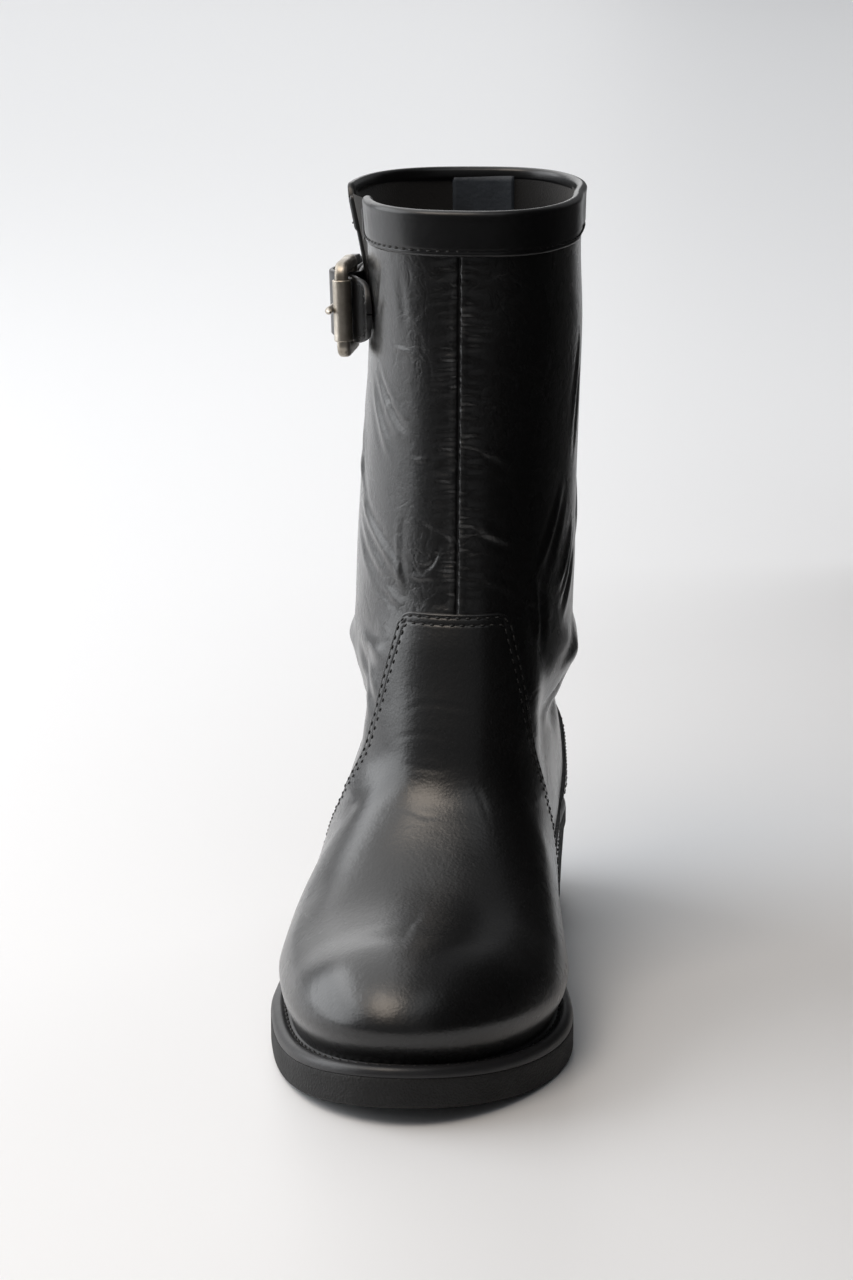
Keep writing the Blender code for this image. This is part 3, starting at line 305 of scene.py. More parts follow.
def outsole_points():
    """Rings shrink to the middle line below, round the edge by a quarter circle, close on top."""
    edge = 0.0016
    rim_x, rim_y = plan_points(turns, -edge)
    mid_y = np.clip(rim_y, TOE_MID - 0.05, HEEL_MID)
    mid_x = foot_rows(mid_y)[0]
    rings = []
    for share in np.linspace(0.02, 0.98, 14):
        x = mid_x + (rim_x - mid_x) * share
        y = mid_y + (rim_y - mid_y) * share
        rings.append(np.stack([x, y, outsole_bottom(y)], axis=-1))
    profile = [(edge * (math.sin(a) - 1.0), lambda y, d=edge * (1.0 - math.cos(a)): outsole_bottom(y) + d)
               for a in np.linspace(0.0, math.pi / 2, 6)]
    profile += [(0.0, lambda y, s=s: outsole_bottom(y) + edge + outsole_side(y, 1.15 * edge) * s)
                for s in (0.2, 0.4, 0.6, 0.8, 1.0)]
    profile += [(-0.0001, lambda y: outsole_top(y) - 0.0001), (-0.0003, outsole_top), (-0.012, outsole_top)]
    return np.concatenate([rings, sole_rings(profile)])


placed(make_sheet("outsole_rubber", outsole_points(), rubber, around=True), "sole_rubber", "outsole")


# Welt: waxed black leather strip sewn round the whole foot. Its outer edge is rounded and
# polished, and a sunk channel beside the upper carries the stitches.
def welt_top(y):
    """Outsole's top plus a gap and the welt's thickness."""
    return outsole_top(y) + GAP + WELT_THICK


# Waxed leather, burnished: a low satin shine in soft waves, over fibres drawn 1.1 mm wide.
welt_leather = grained("waxed welt leather", ((45.0, 5.0, 0.0003), (900.0, 3.0, 0.00008)), gloss=(0.30, 0.52),
                       Base_Color=srgb("202022"), Roughness=0.36, IOR=1.47)


def welt_points():
    """Profile (out, up) from the upper's foot over channel, crown and rounded edge to below."""
    shape = ((-7.0, 0.5), (-6.4, 0.0), (-5.8, -0.35), (-5.1, -0.5), (-4.5, -0.42), (-4.1, -0.15),
             (-3.8, 0.1), (-3.3, 0.2), (-2.7, 0.15), (-2.1, -0.05), (-1.5, -0.4), (-1.0, -0.85),
             (-0.6, -1.4), (-0.32, -2.1), (-0.14, -2.8), (-0.08, -3.4), (-0.12, -3.75), (-0.4, -3.88),
             (-1.2, -3.9))
    return sole_rings([(out / 1000.0, lambda y, up=up: welt_top(y) + up / 1000.0) for out, up in shape])


placed(make_sheet("welt_strip", welt_points(), welt_leather, around=True), "welt_leather", "welt")


# Heel: a block under the sole's heel seat with a hollow breast, and a flat wearing piece
# of the same rubber under it.
BREAST_HOLLOW = 0.004


def heel_turns():
    """Turns of the outline behind the breast, found where the outline passes BREAST."""
    turn = np.linspace(0.3, 1.0, 400)
    start = float(np.interp(BREAST, plan_points(turn, 0.0)[1], turn))
    return np.linspace(start, 2.0 - start, 261)


def heel_rings(profile):
    """Outline behind the breast, closed by a hollow line: y + hollow 4s(1 - s) across it."""
    rings = []
    share = np.linspace(0.0, 1.0, 61)[1:-1]
    for grow, height in profile:
        x, y = plan_points(heel_turns(), grow)
        front_x = x[-1] + (x[0] - x[-1]) * share
        front_y = y[0] + BREAST_HOLLOW * 4.0 * share * (1.0 - share)
        x = np.concatenate([x, front_x])
        y = np.concatenate([y, front_y])
        rings.append(np.stack([x, y, height(y)], axis=-1))
    return np.array(rings)


def level(height):
    """Function of y that gives one height."""
    return lambda y: np.full_like(y, height)


def closed_below(rings):
    """Rings after a ring near the first one's middle, which closes that side."""
    return np.concatenate([rings[:1] * 0.02 + rings[:1].mean(axis=1, keepdims=True) * 0.98, rings])


heel_lift = heel_rings([(grow / 1000.0, level(up / 1000.0)) for grow, up in
                        ((-3.2, 0.0), (-2.8, 0.0), (-2.2, 0.4), (-2.0, 1.0), (-2.0, 5.7), (-2.2, 6.0))])
wearing_piece = make_sheet("heel_wearing_piece", closed_below(heel_lift), rubber, around=True)
placed(wearing_piece, "sole_rubber", "heel_lift")
block = heel_rings([(-0.0022, level(0.0062)), (-0.0019, level(0.0065)), (-0.0014, level(0.017)),
                    (-0.0006, lambda y: outsole_bottom(y) - 2.0 * GAP),
                    (-0.0009, lambda y: outsole_bottom(y) - GAP)])
placed(make_sheet("heel_stack", block, rubber, around=True), "sole_rubber", "heel_block")


# Insole: dark leather board under the foot, lasted in and sewn to upper and welt. It is seen
# only from above through the collar, so the CAD solid itself is shown.
# Pressed leather board: matt brown-black with fibres drawn 1.4 mm wide.
board = grained("insole leather board", ((700.0, 3.0, 0.0002),),
                Base_Color=srgb("2f2c2a"), Roughness=0.75, IOR=1.45)
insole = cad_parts["insole"]
insole.data.materials.clear()
insole.data.materials.append(board)


# Upper: the form that vamp, shaft, counter and collar share. It is a foot form and a shaft
# form, joined by a fillet that is wide over the instep; each panel is cut from it.
BOOT_HEIGHT, SHAFT_WIDTH, SHAFT_DEPTH, SHAFT_SETBACK = 0.2865, 0.077, 0.122, -0.041
THROAT_HEIGHT, BAND_HEIGHT, COUNTER_HEIGHT = 0.144, 0.0155, 0.090
WALL, OVERLAY, COLLAR_SPREAD, SWELL_RISE = 0.0022, 0.0013, 0.0095, 0.014
SHAFT_POWER, FULLER_BY, SHAFT_FOOT, THROAT_DROP = 2.15, 0.45, 0.075, 0.018
HEEL_FILLET, INSTEP_FILLET, FILLET_FROM, FILLET_OVER = 0.008, 0.026, -0.075, 0.03
GUSSET_TIP, GUSSET_FRONT, GUSSET_BACK, FULLER_FROM = 0.221, -0.062, -0.034, 0.200

# height (share of BOOT_HEIGHT), lateral and medial reach (of SHAFT_WIDTH), front and back
# reach (of SHAFT_DEPTH)
SHAFT_FORM = np.array((
    (0.170, -0.470, 0.375, 0.360, 0.505),
    (0.262, -0.465, 0.372, 0.420, 0.495),
    (0.307, -0.462, 0.388, 0.490, 0.480),
    (0.350, -0.510, 0.440, 0.565, 0.470),
    (0.392, -0.550, 0.492, 0.605, 0.470),
    (0.455, -0.556, 0.496, 0.598, 0.472),
    (0.520, -0.552, 0.504, 0.570, 0.476),
    (0.625, -0.532, 0.508, 0.545, 0.487),
    (0.730, -0.506, 0.518, 0.522, 0.497),
    (0.840, -0.480, 0.527, 0.508, 0.500),
    (0.920, -0.484, 0.516, 0.500, 0.500),
    (1.000, -0.500, 0.520, 0.498, 0.500),
)).T


def foot_form(x, y, z):
    """Distance-like measure: ((flat^p + (above/height)^p)^(1/p) - 1) times the mean size."""
    ridge, height, swell_out, swell_in, full_out, full_in = foot_rows(y)
    lateral, medial = sole_edges(y)
    above = np.clip(z - welt_top(y), 0.0, None)
    swell = ease(above / SWELL_RISE)
    out = x < ridge
    grow = np.where(out, swell_out, swell_in) * swell - WELT_REACH
    half = np.where(out, ridge - lateral, medial - ridge) + grow
    toe = np.clip((TOE_MID - y) / (TOE_ROUND + grow), 0.0, None)
    heel = np.clip((y - HEEL_MID) / (HEEL_ROUND + grow), 0.0, None)
    flat = np.sqrt(((x - ridge) / half) ** 2 + toe ** 2 + heel ** 2)
    power = np.where(out, full_out, full_in)
    size = (flat ** power + (above / height) ** power) ** (1.0 / power)
    mean = 0.5 * (medial - lateral + (swell_out + swell_in) * swell) - WELT_REACH
    return (size - 1.0) * 0.45 * (mean + height)


def shaft_form(x, y, z):
    """Distance-like measure: ((|x/a|^p + |y/b|^p)^(1/p) - 1) w, p 2.15 and 2.6 at the collar."""
    share, lateral, medial, front, back = SHAFT_FORM
    at = z / BOOT_HEIGHT
    wider = ease((z - GUSSET_TIP) / (BOOT_HEIGHT - GUSSET_TIP) * 0.75)
    behind = ease((y - GUSSET_FRONT) / (GUSSET_BACK - GUSSET_FRONT))
    left = smooth_between(at, share, lateral * SHAFT_WIDTH) - COLLAR_SPREAD * wider * behind
    right = smooth_between(at, share, medial * SHAFT_WIDTH)
    ahead = smooth_between(at, share, front * SHAFT_DEPTH)
    rear = smooth_between(at, share, back * SHAFT_DEPTH)
    across = np.where(x < 0.0, x / left, x / right)
    along = (y - SHAFT_SETBACK) / np.where(y < SHAFT_SETBACK, ahead, rear)
    power = SHAFT_POWER + FULLER_BY * ease((z - FULLER_FROM) / (BOOT_HEIGHT - FULLER_FROM))
    size = (np.abs(across) ** power + np.abs(along) ** power) ** (1.0 / power)
    return (size - 1.0) * 0.5 * SHAFT_WIDTH + np.clip(SHAFT_FOOT - z, 0.0, None)


def boot_form(points):
    """Smooth union of foot and shaft: mix - fillet m(1 - m), fillet 8 mm behind, 34 mm in front."""
    x, y, z = np.moveaxis(points, -1, 0)
    foot = foot_form(x, y, z)
    shaft = shaft_form(x, y, z)
    fillet = HEEL_FILLET + INSTEP_FILLET * ease((FILLET_FROM - y) / FILLET_OVER)
    mix = np.clip(0.5 + 0.5 * (shaft - foot) / fillet, 0.0, 1.0)
    return shaft + (foot - shaft) * mix - fillet * mix * (1.0 - mix)


def throat_ring(turn):
    """Height of the ring between foot rows and shaft rows: 144 mm in front, 126 mm behind."""
    return THROAT_HEIGHT - THROAT_DROP * (0.5 - 0.5 * np.cos(math.pi * turn))


def rise_at(height, turn):
    """Rise on the shaft at a height."""
    throat = throat_ring(turn)
    return 1.0 + (height - throat) / (BOOT_HEIGHT - throat)


def leave_form(start, way, far):
    """Points where rays from start leave the form, by 24 halvings of the reach 0..far."""
    near = np.zeros(way.shape[:-1])
    far = np.full(way.shape[:-1], far)
    for _ in range(24):
        reach = (near + far) / 2.0
        inside = boot_form(start + way * reach[..., None]) < 0.0
        near = np.where(inside, reach, near)
        far = np.where(inside, far, reach)
    return start + way * ((near + far) / 2.0)[..., None]


def cast_skin(turn, rise):
    """Points of the form: where rays from the sole's line and the shaft's axis leave it.

    turn is 0 in front, -1 round the lateral side and 1 round the medial side to the back.
    rise is 0 at the foot, 1 at the throat ring and 2 at the collar.
    """
    turn = (turn + 1.0) % 2.0 - 1.0
    around = np.abs(turn)
    foot_x, foot_y = plan_points(np.where(turn <= 0.0, around, 2.0 - around), -WELT_REACH)
    low = np.clip(rise, 0.0, 1.0)
    high = np.clip(rise - 1.0, 0.0, 1.1)
    start_y = np.clip(foot_y, TOE_MID - 0.045, HEEL_MID)
    start_x = foot_rows(start_y)[0]
    blend = ease(low)
    throat = throat_ring(turn)
    foot_z = welt_top(foot_y)
    height = foot_z + (throat - foot_z) * low ** (2.0 - around) + (BOOT_HEIGHT - throat) * high
    start = np.stack([start_x * (1.0 - blend), start_y + (SHAFT_SETBACK - start_y) * blend, height], axis=-1)
    size = np.hypot(foot_x - start_x, foot_y - start_y)
    way_x = (foot_x - start_x) / size * (1.0 - blend) + np.sin(math.pi * turn) * blend
    way_y = (foot_y - start_y) / size * (1.0 - blend) - np.cos(math.pi * turn) * blend
    size = np.hypot(way_x, way_y)
    tilt = math.radians(64.0) * np.sin(math.pi * low ** 0.75) * (1.0 - ease(around * 1.15))
    way = np.stack([way_x / size * np.cos(tilt), way_y / size * np.cos(tilt), np.sin(tilt)], axis=-1)
    return leave_form(start, way, 0.16)


def slope_of(points):
    """Gradient of the form by central differences over 0.4 mm."""
    moves = np.eye(3) * 0.0004
    return np.stack([boot_form(points + move) - boot_form(points - move) for move in moves], axis=-1) / 0.0008


def outward(points):
    """Unit gradient of the form."""
    slope = slope_of(points)
    return slope / np.linalg.norm(slope, axis=-1, keepdims=True)


def snapped(points):
    """Points moved onto the form by three Newton steps p - f g / |g|^2."""
    for _ in range(3):
        slope = slope_of(points)
        points = points - slope * (boot_form(points) / np.sum(slope ** 2, axis=-1))[..., None]
    return points


# Main folds of the slack ankle: direction (degrees from the front, lateral negative), reach
# (degrees), height (of BOOT_HEIGHT), drop of its ends, depth (of WALL), half width (of height)
ANKLE_FOLDS = (
    (0.0, 46.0, 0.462, 0.030, 0.25, 0.030),
    (0.0, 52.0, 0.405, 0.045, -0.25, 0.030),
    (-98.0, 34.0, 0.405, -0.030, 1.10, 0.028),
    (-92.0, 40.0, 0.318, -0.020, -1.10, 0.020),
    (96.0, 38.0, 0.392, -0.030, 1.00, 0.026),
    (90.0, 42.0, 0.315, -0.020, -1.10, 0.020),
    (178.0, 50.0, 0.375, 0.020, -1.00, 0.024),
    (176.0, 44.0, 0.440, 0.020, 0.90, 0.026),
)

# Creases: turn and rise of start, middle and end, depth and half width in mm. Depth is
# negative for a trough and positive for a ridge.
CREASES = (
    (-0.21, 1.59, -0.14, 1.49, -0.11, 1.45, -0.68, 1.5),
    (-0.165, 1.47, -0.15, 1.51, -0.115, 1.45, 0.3, 1.0),
    (-0.25, 1.55, -0.19, 1.45, -0.15, 1.38, 0.52, 2.0),
    (-0.36, 1.28, -0.185, 1.17, -0.1, 1.06, 0.68, 1.9),
    (-0.33, 1.2, -0.2, 1.09, -0.12, 1.02, -0.68, 2.0),
    (-0.115, 1.24, -0.115, 1.12, -0.1, 1.05, 0.45, 1.2),
    (-0.15, 1.65, -0.115, 1.65, -0.09, 1.64, 0.3, 0.9),
    (-0.22, 1.1, -0.14, 1.04, -0.095, 1.01, 0.52, 1.5),
    (-0.065, 1.11, -0.045, 1.12, -0.03, 1.17, -0.45, 0.8),
    (-0.08, 1.09, -0.06, 1.085, -0.035, 1.1, 0.3, 0.9),
    (-0.18, 1.86, -0.19, 1.8, -0.23, 1.7, 0.3, 1.4),
    (-0.125, 1.84, -0.115, 1.77, -0.11, 1.7, -0.3, 1.5),
    (-0.085, 1.38, -0.065, 1.38, -0.055, 1.39, 0.22, 0.8),
    (-0.46, 1.5, -0.36, 1.4, -0.3, 1.3, -0.68, 2.5),
    (-0.42, 1.36, -0.32, 1.3, -0.24, 1.22, 0.52, 1.9),
    (0.16, 1.09, 0.21, 1.18, 0.275, 1.3, 0.85, 1.7),
    (0.185, 1.07, 0.235, 1.16, 0.3, 1.27, -0.77, 2.0),
    (0.155, 1.08, 0.155, 0.98, 0.175, 0.82, 0.8, 1.9),
    (0.175, 1.06, 0.175, 0.96, 0.195, 0.84, -0.7, 2.2),
    (0.39, 1.19, 0.305, 1.09, 0.245, 1.03, 0.77, 2.0),
    (0.43, 1.13, 0.34, 1.03, 0.27, 0.97, -0.77, 2.2),
    (0.43, 1.67, 0.385, 1.55, 0.34, 1.42, 0.51, 2.2),
    (0.47, 1.6, 0.42, 1.48, 0.37, 1.36, -0.51, 2.4),
    (0.095, 1.78, 0.12, 1.81, 0.14, 1.83, -0.2, 1.4),
    (0.05, 1.63, 0.1, 1.6, 0.125, 1.57, 0.2, 1.4),
    (0.015, 1.43, 0.045, 1.41, 0.1, 1.37, 0.2, 1.4),
    (0.02, 1.4, 0.06, 1.38, 0.11, 1.33, -0.2, 1.4),
    (0.015, 1.23, 0.05, 1.21, 0.095, 1.17, 0.25, 1.6),
    (0.02, 1.2, 0.06, 1.175, 0.11, 1.14, -0.25, 1.4),
    (0.03, 1.09, 0.07, 1.07, 0.12, 1.03, 0.2, 1.4),
    (-0.275, 0.88, -0.205, 0.83, -0.16, 0.78, 0.8, 2.6),
    (-0.285, 0.83, -0.25, 0.75, -0.22, 0.66, -1.0, 2.4),
    (0.55, 0.83, 0.47, 0.76, 0.37, 0.69, -1.3, 3.0),
    (0.535, 0.9, 0.45, 0.84, 0.35, 0.77, 0.9, 3.0),
    (-0.55, 0.95, -0.45, 0.88, -0.36, 0.84, 0.9, 3.2),
    (-0.6, 0.88, -0.5, 0.79, -0.38, 0.76, -1.1, 3.0),
    (-0.75, 1.05, -0.66, 0.96, -0.58, 0.93, -0.8, 3.4),
    (0.75, 1.08, 0.66, 0.98, 0.58, 0.95, -0.8, 3.4),
    (-1.03, 0.97, -0.9, 0.9, -0.79, 0.93, -0.75, 3.2),
    (0.93, 1.0, 0.87, 0.96, 0.77, 0.99, -0.55, 2.6),
    (-0.95, 1.12, -0.85, 1.06, -0.76, 1.08, 0.8, 3.4),
    (0.9, 1.2, 0.83, 1.12, 0.78, 1.1, 0.4, 3.2),
    (-0.9, 1.32, -0.8, 1.24, -0.72, 1.2, -0.6, 3.6),
    (0.93, 1.42, 0.85, 1.33, 0.74, 1.3, -0.45, 3.4),
    (0.62, 1.32, 0.57, 1.22, 0.5, 1.15, 0.59, 2.4),
    (-0.66, 1.34, -0.6, 1.24, -0.52, 1.17, 0.7, 3.2),
    (-0.165, 0.107, -0.145, 0.08, -0.125, 0.06, -0.25, 1.0),
    (-0.15, 0.107, -0.128, 0.08, -0.108, 0.053, -0.22, 0.9),
    (-0.18, 0.105, -0.163, 0.082, -0.145, 0.06, -0.2, 0.9),
    (-0.17, 0.567, -0.075, 0.553, 0.05, 0.553, -0.09, 1.1),
    (-0.175, 0.6, -0.065, 0.6, 0.07, 0.587, -0.09, 1.1),
    (-0.12, 0.64, -0.02, 0.645, 0.09, 0.63, -0.09, 1.1),
    (-0.19, 0.5, -0.08, 0.48, 0.03, 0.485, -0.09, 1.1),
    (0.1, 0.54, 0.16, 0.52, 0.22, 0.47, -0.09, 1.1),
    (-0.2, 0.24, 0.04, 0.227, 0.235, 0.227, -0.08, 9.0),
    (-0.33, 1.99, -0.31, 1.95, -0.30, 1.915, 0.16, 1.6),
    (-0.27, 1.985, -0.255, 1.955, -0.25, 1.93, -0.12, 1.6),
)


def crease_lines():
    """Each crease as nine points on the form: q = (1-t)^2 a + 2t(1-t) b + t^2 c in turn and rise."""
    table = np.array(CREASES)
    t = np.linspace(0.0, 1.0, 9)[None, :]
    middle = 2.0 * table[:, 2:4] - 0.5 * (table[:, 0:2] + table[:, 4:6])
    turn, rise = [(1 - t) ** 2 * table[:, [k]] + 2 * t * (1 - t) * middle[:, [k]] + t ** 2 * table[:, [k + 4]]
                  for k in (0, 1)]
    return cast_skin(turn, rise), table[:, 6] / 1000.0, table[:, 7] / 1000.0


crease_paths, crease_depths, crease_widths = crease_lines()


def fold_height(points):
    """Height of the leather over the form: ankle folds, creases and the front seam's puckers.

    A fold is deep exp(-(dz/half)^2 - (angle/reach)^2). A crease is deep (exp(-q^2) -
    0.4 exp(-(q - 2)^2)) at q widths from its line, faded to its ends.
    """
    shape = points.shape[:-1]
    flat = points.reshape(-1, 3)
    angle = np.degrees(np.arctan2(flat[:, 0], SHAFT_SETBACK - flat[:, 1]))
    share = flat[:, 2] / BOOT_HEIGHT
    total = np.zeros(len(flat))
    for middle, reach, height, drop, deep, half in ANKLE_FOLDS:
        off = (angle - middle + 180.0) % 360.0 - 180.0
        line = height - drop * (off / reach) ** 2
        total += deep * WALL * np.exp(-((share - line) / half) ** 2 - (off / reach) ** 2)
    for path, deep, width in zip(crease_paths, crease_depths, crease_widths):
        low = path.min(axis=0) - 4.0 * width
        high = path.max(axis=0) + 4.0 * width
        near = np.flatnonzero(np.all((flat > low) & (flat < high), axis=1))
        part = flat[near]
        best = np.full(len(near), 1.0)
        along = np.zeros(len(near))
        for k in range(len(path) - 1):
            step = path[k + 1] - path[k]
            t = np.clip((part - path[k]) @ step / (step @ step), 0.0, 1.0)
            gap = np.linalg.norm(part - path[k] - t[:, None] * step, axis=1)
            along = np.where(gap < best, (k + t) / (len(path) - 1), along)
            best = np.minimum(best, gap)
        q = best / width
        fade = np.sin(math.pi * np.clip(along, 0.02, 0.98)) ** 0.7
        total[near] += deep * fade * (np.exp(-q ** 2) - 0.4 * np.exp(-(q - 2.0) ** 2))
    return total.reshape(shape)


def on_leather(base, lift):
    """Points of the form moved out by the folds' height and a lift."""
    return base + outward(base) * (fold_height(base) + lift)[..., None]


PUCKER_DEEP, PUCKER_FINE, PUCKER_REACH, SEAM_DEEP, SEAM_BESIDE = 0.00028, 0.00017, 0.0074, 0.0007, 0.0003


def seam_detail(points):
    """Groove of the front seam and short puckers beside it, which fade over 7 mm."""
    x, y, z = np.moveaxis(points, -1, 0)
    near = (y < SHAFT_SETBACK) & (z > THROAT_HEIGHT - 0.010)
    away = np.abs(x)
    side = np.where(x < 0.0, 0.0, 1.9)
    turn = 2 * math.pi * z
    wave = np.sin(turn / 0.0043 + 2.2 * np.sin(turn / 0.023 + side) + side + away * 260.0)
    fine = np.sin(turn / 0.0023 + 3.0 * np.sin(turn / 0.011 + 2.0 * side) - away * 420.0)
    slow = 0.75 + 0.25 * np.sin(turn / 0.037 + 2.0 * side)
    fade = slow * np.exp(-(away / PUCKER_REACH) ** 2) * ease(away / 0.0012)
    beside = SEAM_BESIDE * np.exp(-((away - 0.0018) / 0.0012) ** 2)
    groove = beside - SEAM_DEEP * np.exp(-(away / 0.0005) ** 2)
    return np.where(near, (PUCKER_DEEP * wave + PUCKER_FINE * fine) * fade + groove, 0.0)


def polished_leather(name, wrinkles):
    """Black full-grain leather, dyed through and polished; wrinkles is a depth in m.

    Its grain is 2.4 mm wide in waves of 17 mm, with pores drawn 1 mm wide so that they show. The
    coat is the polish, with clear highlights that turn dull where the leather is handled most.
    Wrinkles are the valleys |noise - 0.5| of two noises, 16 and 7 mm wide, in patches.
    """
    material, tree, shader, place = new_material(name, Base_Color=srgb("070708"), Roughness=0.36, IOR=1.46,
                                                 Coat_Weight=0.60, Coat_Roughness=0.20, Coat_IOR=1.45)
    fine, broad, handled = [
        add_node(tree, "ShaderNodeTexNoise", {"Vector": place, "Scale": scale, "Detail": deep}).outputs["Fac"]
        for scale, deep in ((420.0, 4.0), (60.0, 4.0), (28.0, 5.0))]
    for value, low, high, socket in ((handled, 0.25, 0.42, "Roughness"),
                                     (broad, 0.20, 0.34, "Coat Roughness")):
        dulled = add_node(tree, "ShaderNodeMapRange", {"Value": value, "To Min": low, "To Max": high})
        tree.links.new(dulled.outputs["Result"], shader.inputs[socket])
    dots = add_node(tree, "ShaderNodeTexVoronoi", {"Vector": place, "Scale": 950.0}).outputs["Distance"]
    layers = [(broad, 0.0003 + wrinkles), (fine, 0.00012), (dots, 0.00005)]
    if wrinkles:
        used = {"Value": handled, "From Min": 0.44, "From Max": 0.60}
        patch = add_node(tree, "ShaderNodeMapRange", used).outputs["Result"]
        for scale, share in ((62.0, 1.0), (135.0, 0.5)):
            bent = {"Vector": place, "Scale": scale, "Detail": 2.5, "Distortion": 0.5}
            lines = add_node(tree, "ShaderNodeTexNoise", bent).outputs["Fac"]
            off = add_node(tree, "ShaderNodeMath", {0: lines, 1: 0.5}, operation="SUBTRACT").outputs["Value"]
            ridge = add_node(tree, "ShaderNodeMath", {0: off}, operation="ABSOLUTE").outputs["Value"]
            valley = add_node(tree, "ShaderNodeMapRange", {"Value": ridge, "From Max": 0.075})
            inputs = {"Factor": patch, "A": 1.0, "B": valley.outputs["Result"]}
            crumple = add_node(tree, "ShaderNodeMix", inputs)
            layers.append((crumple.outputs["Result"], share * wrinkles))
    add_bump(tree, shader, layers)
    return material


black_leather = polished_leather("polished black smooth leather", 0.0)
shaft_hide = polished_leather("soft black wrinkled leather", 0.00018)


# Shaft: two side panels of smooth black leather with a butted seam down the front. It runs
# under the vamp and the counter and is open at the slit on the lateral side.
SEAM_LINE = np.array(((0.14, -0.318), (0.35, -0.324), (0.45, -0.338), (0.555, -0.360),
                      (0.66, -0.377), (0.76, -0.384), (0.87, -0.381), (1.00, -0.374))).T


def seam_turns(rise, side):
    """Turn of the vamp's edge at each rise: where the skin's y passes the seam table's y."""
    turn = np.linspace(0.02, 0.80, 120)
    spread_turn, spread_rise = np.meshgrid(turn, rise)
    points = cast_skin(side * spread_turn, spread_rise)
    line = smooth_between(points[..., 2] / THROAT_HEIGHT, SEAM_LINE[0], SEAM_LINE[1] * LENGTH)
    past = points[..., 1] - line
    return np.array([np.interp(0.0, row, turn) for row in np.maximum.accumulate(past, axis=1)])


seam_rises = np.linspace(0.0, 1.0, 61)
seam_edges = {side: seam_turns(seam_rises, side) for side in (-1.0, 1.0)}


def vamp_edge(rise, side):
    """Vamp edge's turn at any rise, read from the table of both sides."""
    return np.interp(rise, seam_rises, seam_edges[side])


def slit_edges(z):
    """Front and back y of the slit: middle -/+ half width times (height share)^0.9."""
    share = np.clip((z - GUSSET_TIP) / (BOOT_HEIGHT - GUSSET_TIP), 0.0, 1.2)
    half = 0.5 * (GUSSET_BACK - GUSSET_FRONT) * share ** 0.9
    middle = 0.5 * (GUSSET_FRONT + GUSSET_BACK)
    return middle - half, middle + half


def slit_turns(rise):
    """Turns of the slit's two edges at each rise, found on the lateral side."""
    turn = np.linspace(-0.75, -0.30, 160)
    spread_turn, spread_rise = np.meshgrid(turn, rise)
    points = cast_skin(spread_turn, spread_rise)
    out = []
    for row in points:
        front, back = slit_edges(row[len(row) // 2, 2])
        order = np.argsort(row[:, 1])
        out.append(np.interp((front, back), row[order, 1], turn[order]))
    return np.array(out).T


slit_rises = np.linspace(0.9, 2.05, 93)
slit_front, slit_back = slit_turns(slit_rises)


def shaft_turn(share, rise):
    """Turn at share 0..1 from the slit's back edge round the back, medial side and front."""
    back = np.interp(rise, slit_rises, slit_back)
    front = np.interp(rise, slit_rises, slit_front) - 2.0
    return back + (front - back) * share


def shaft_shares():
    """Shares of the columns, 0.3 mm apart at the front seam and about 1 mm apart elsewhere."""
    middle = 1.0 + 0.5 * np.interp(1.5, slit_rises, slit_front)
    coarse = np.linspace(0.0, 1.0, 301)
    coarse = coarse[np.abs(coarse - middle) > 0.030]
    return np.sort(np.concatenate([coarse, middle + np.linspace(-0.028, 0.028, 57)]))


shaft_columns = shaft_shares()
shaft_rises = np.concatenate([np.linspace(0.0, 1.0, 104)[:-1], np.linspace(1.0, 1.905, 170)])
share_grid, rise_grid = np.meshgrid(shaft_columns, shaft_rises)
shaft_turns = shaft_turn(share_grid, rise_grid)
shaft_base = cast_skin(shaft_turns, rise_grid)
shaft_skin = on_leather(shaft_base, seam_detail(shaft_base))
wrapped = (shaft_turns + 1.0) % 2.0 - 1.0
edge_grid = np.where(wrapped < 0.0, vamp_edge(rise_grid, -1.0), vamp_edge(rise_grid, 1.0))
hidden = (np.abs(wrapped) < edge_grid - 0.05) & (rise_grid < 0.93)
keep = ~(hidden[:-1, :-1] & hidden[1:, :-1] & hidden[:-1, 1:] & hidden[1:, 1:])
tip_row = int(np.sum(shaft_base[:, 0, 2] < GUSSET_TIP))
placed(make_sheet("shaft_leather", shaft_skin, shaft_hide, keep=keep, weld=tip_row), "upper_leather", "upper")


# Vamp: one plain panel of the same leather over toe and instep, lasted and lapped over the
# shaft. Its upper corners are rounded and its edge is skived and inked.
EDGE_ROUND, EDGE_ZONE, VAMP_CORNER, VAMP_STITCHES = 0.0009, 0.0068, 0.006, (0.0017, 0.0043)
STITCH_DIP = 0.0002


def run_along(points, axis):
    """Summed distances between neighbouring points along an axis, from 0."""
    steps = np.linalg.norm(np.diff(points, axis=axis), axis=-1)
    start = np.zeros_like(np.take(steps, [0], axis=axis))
    return np.concatenate([start, np.cumsum(steps, axis=axis)], axis=axis)


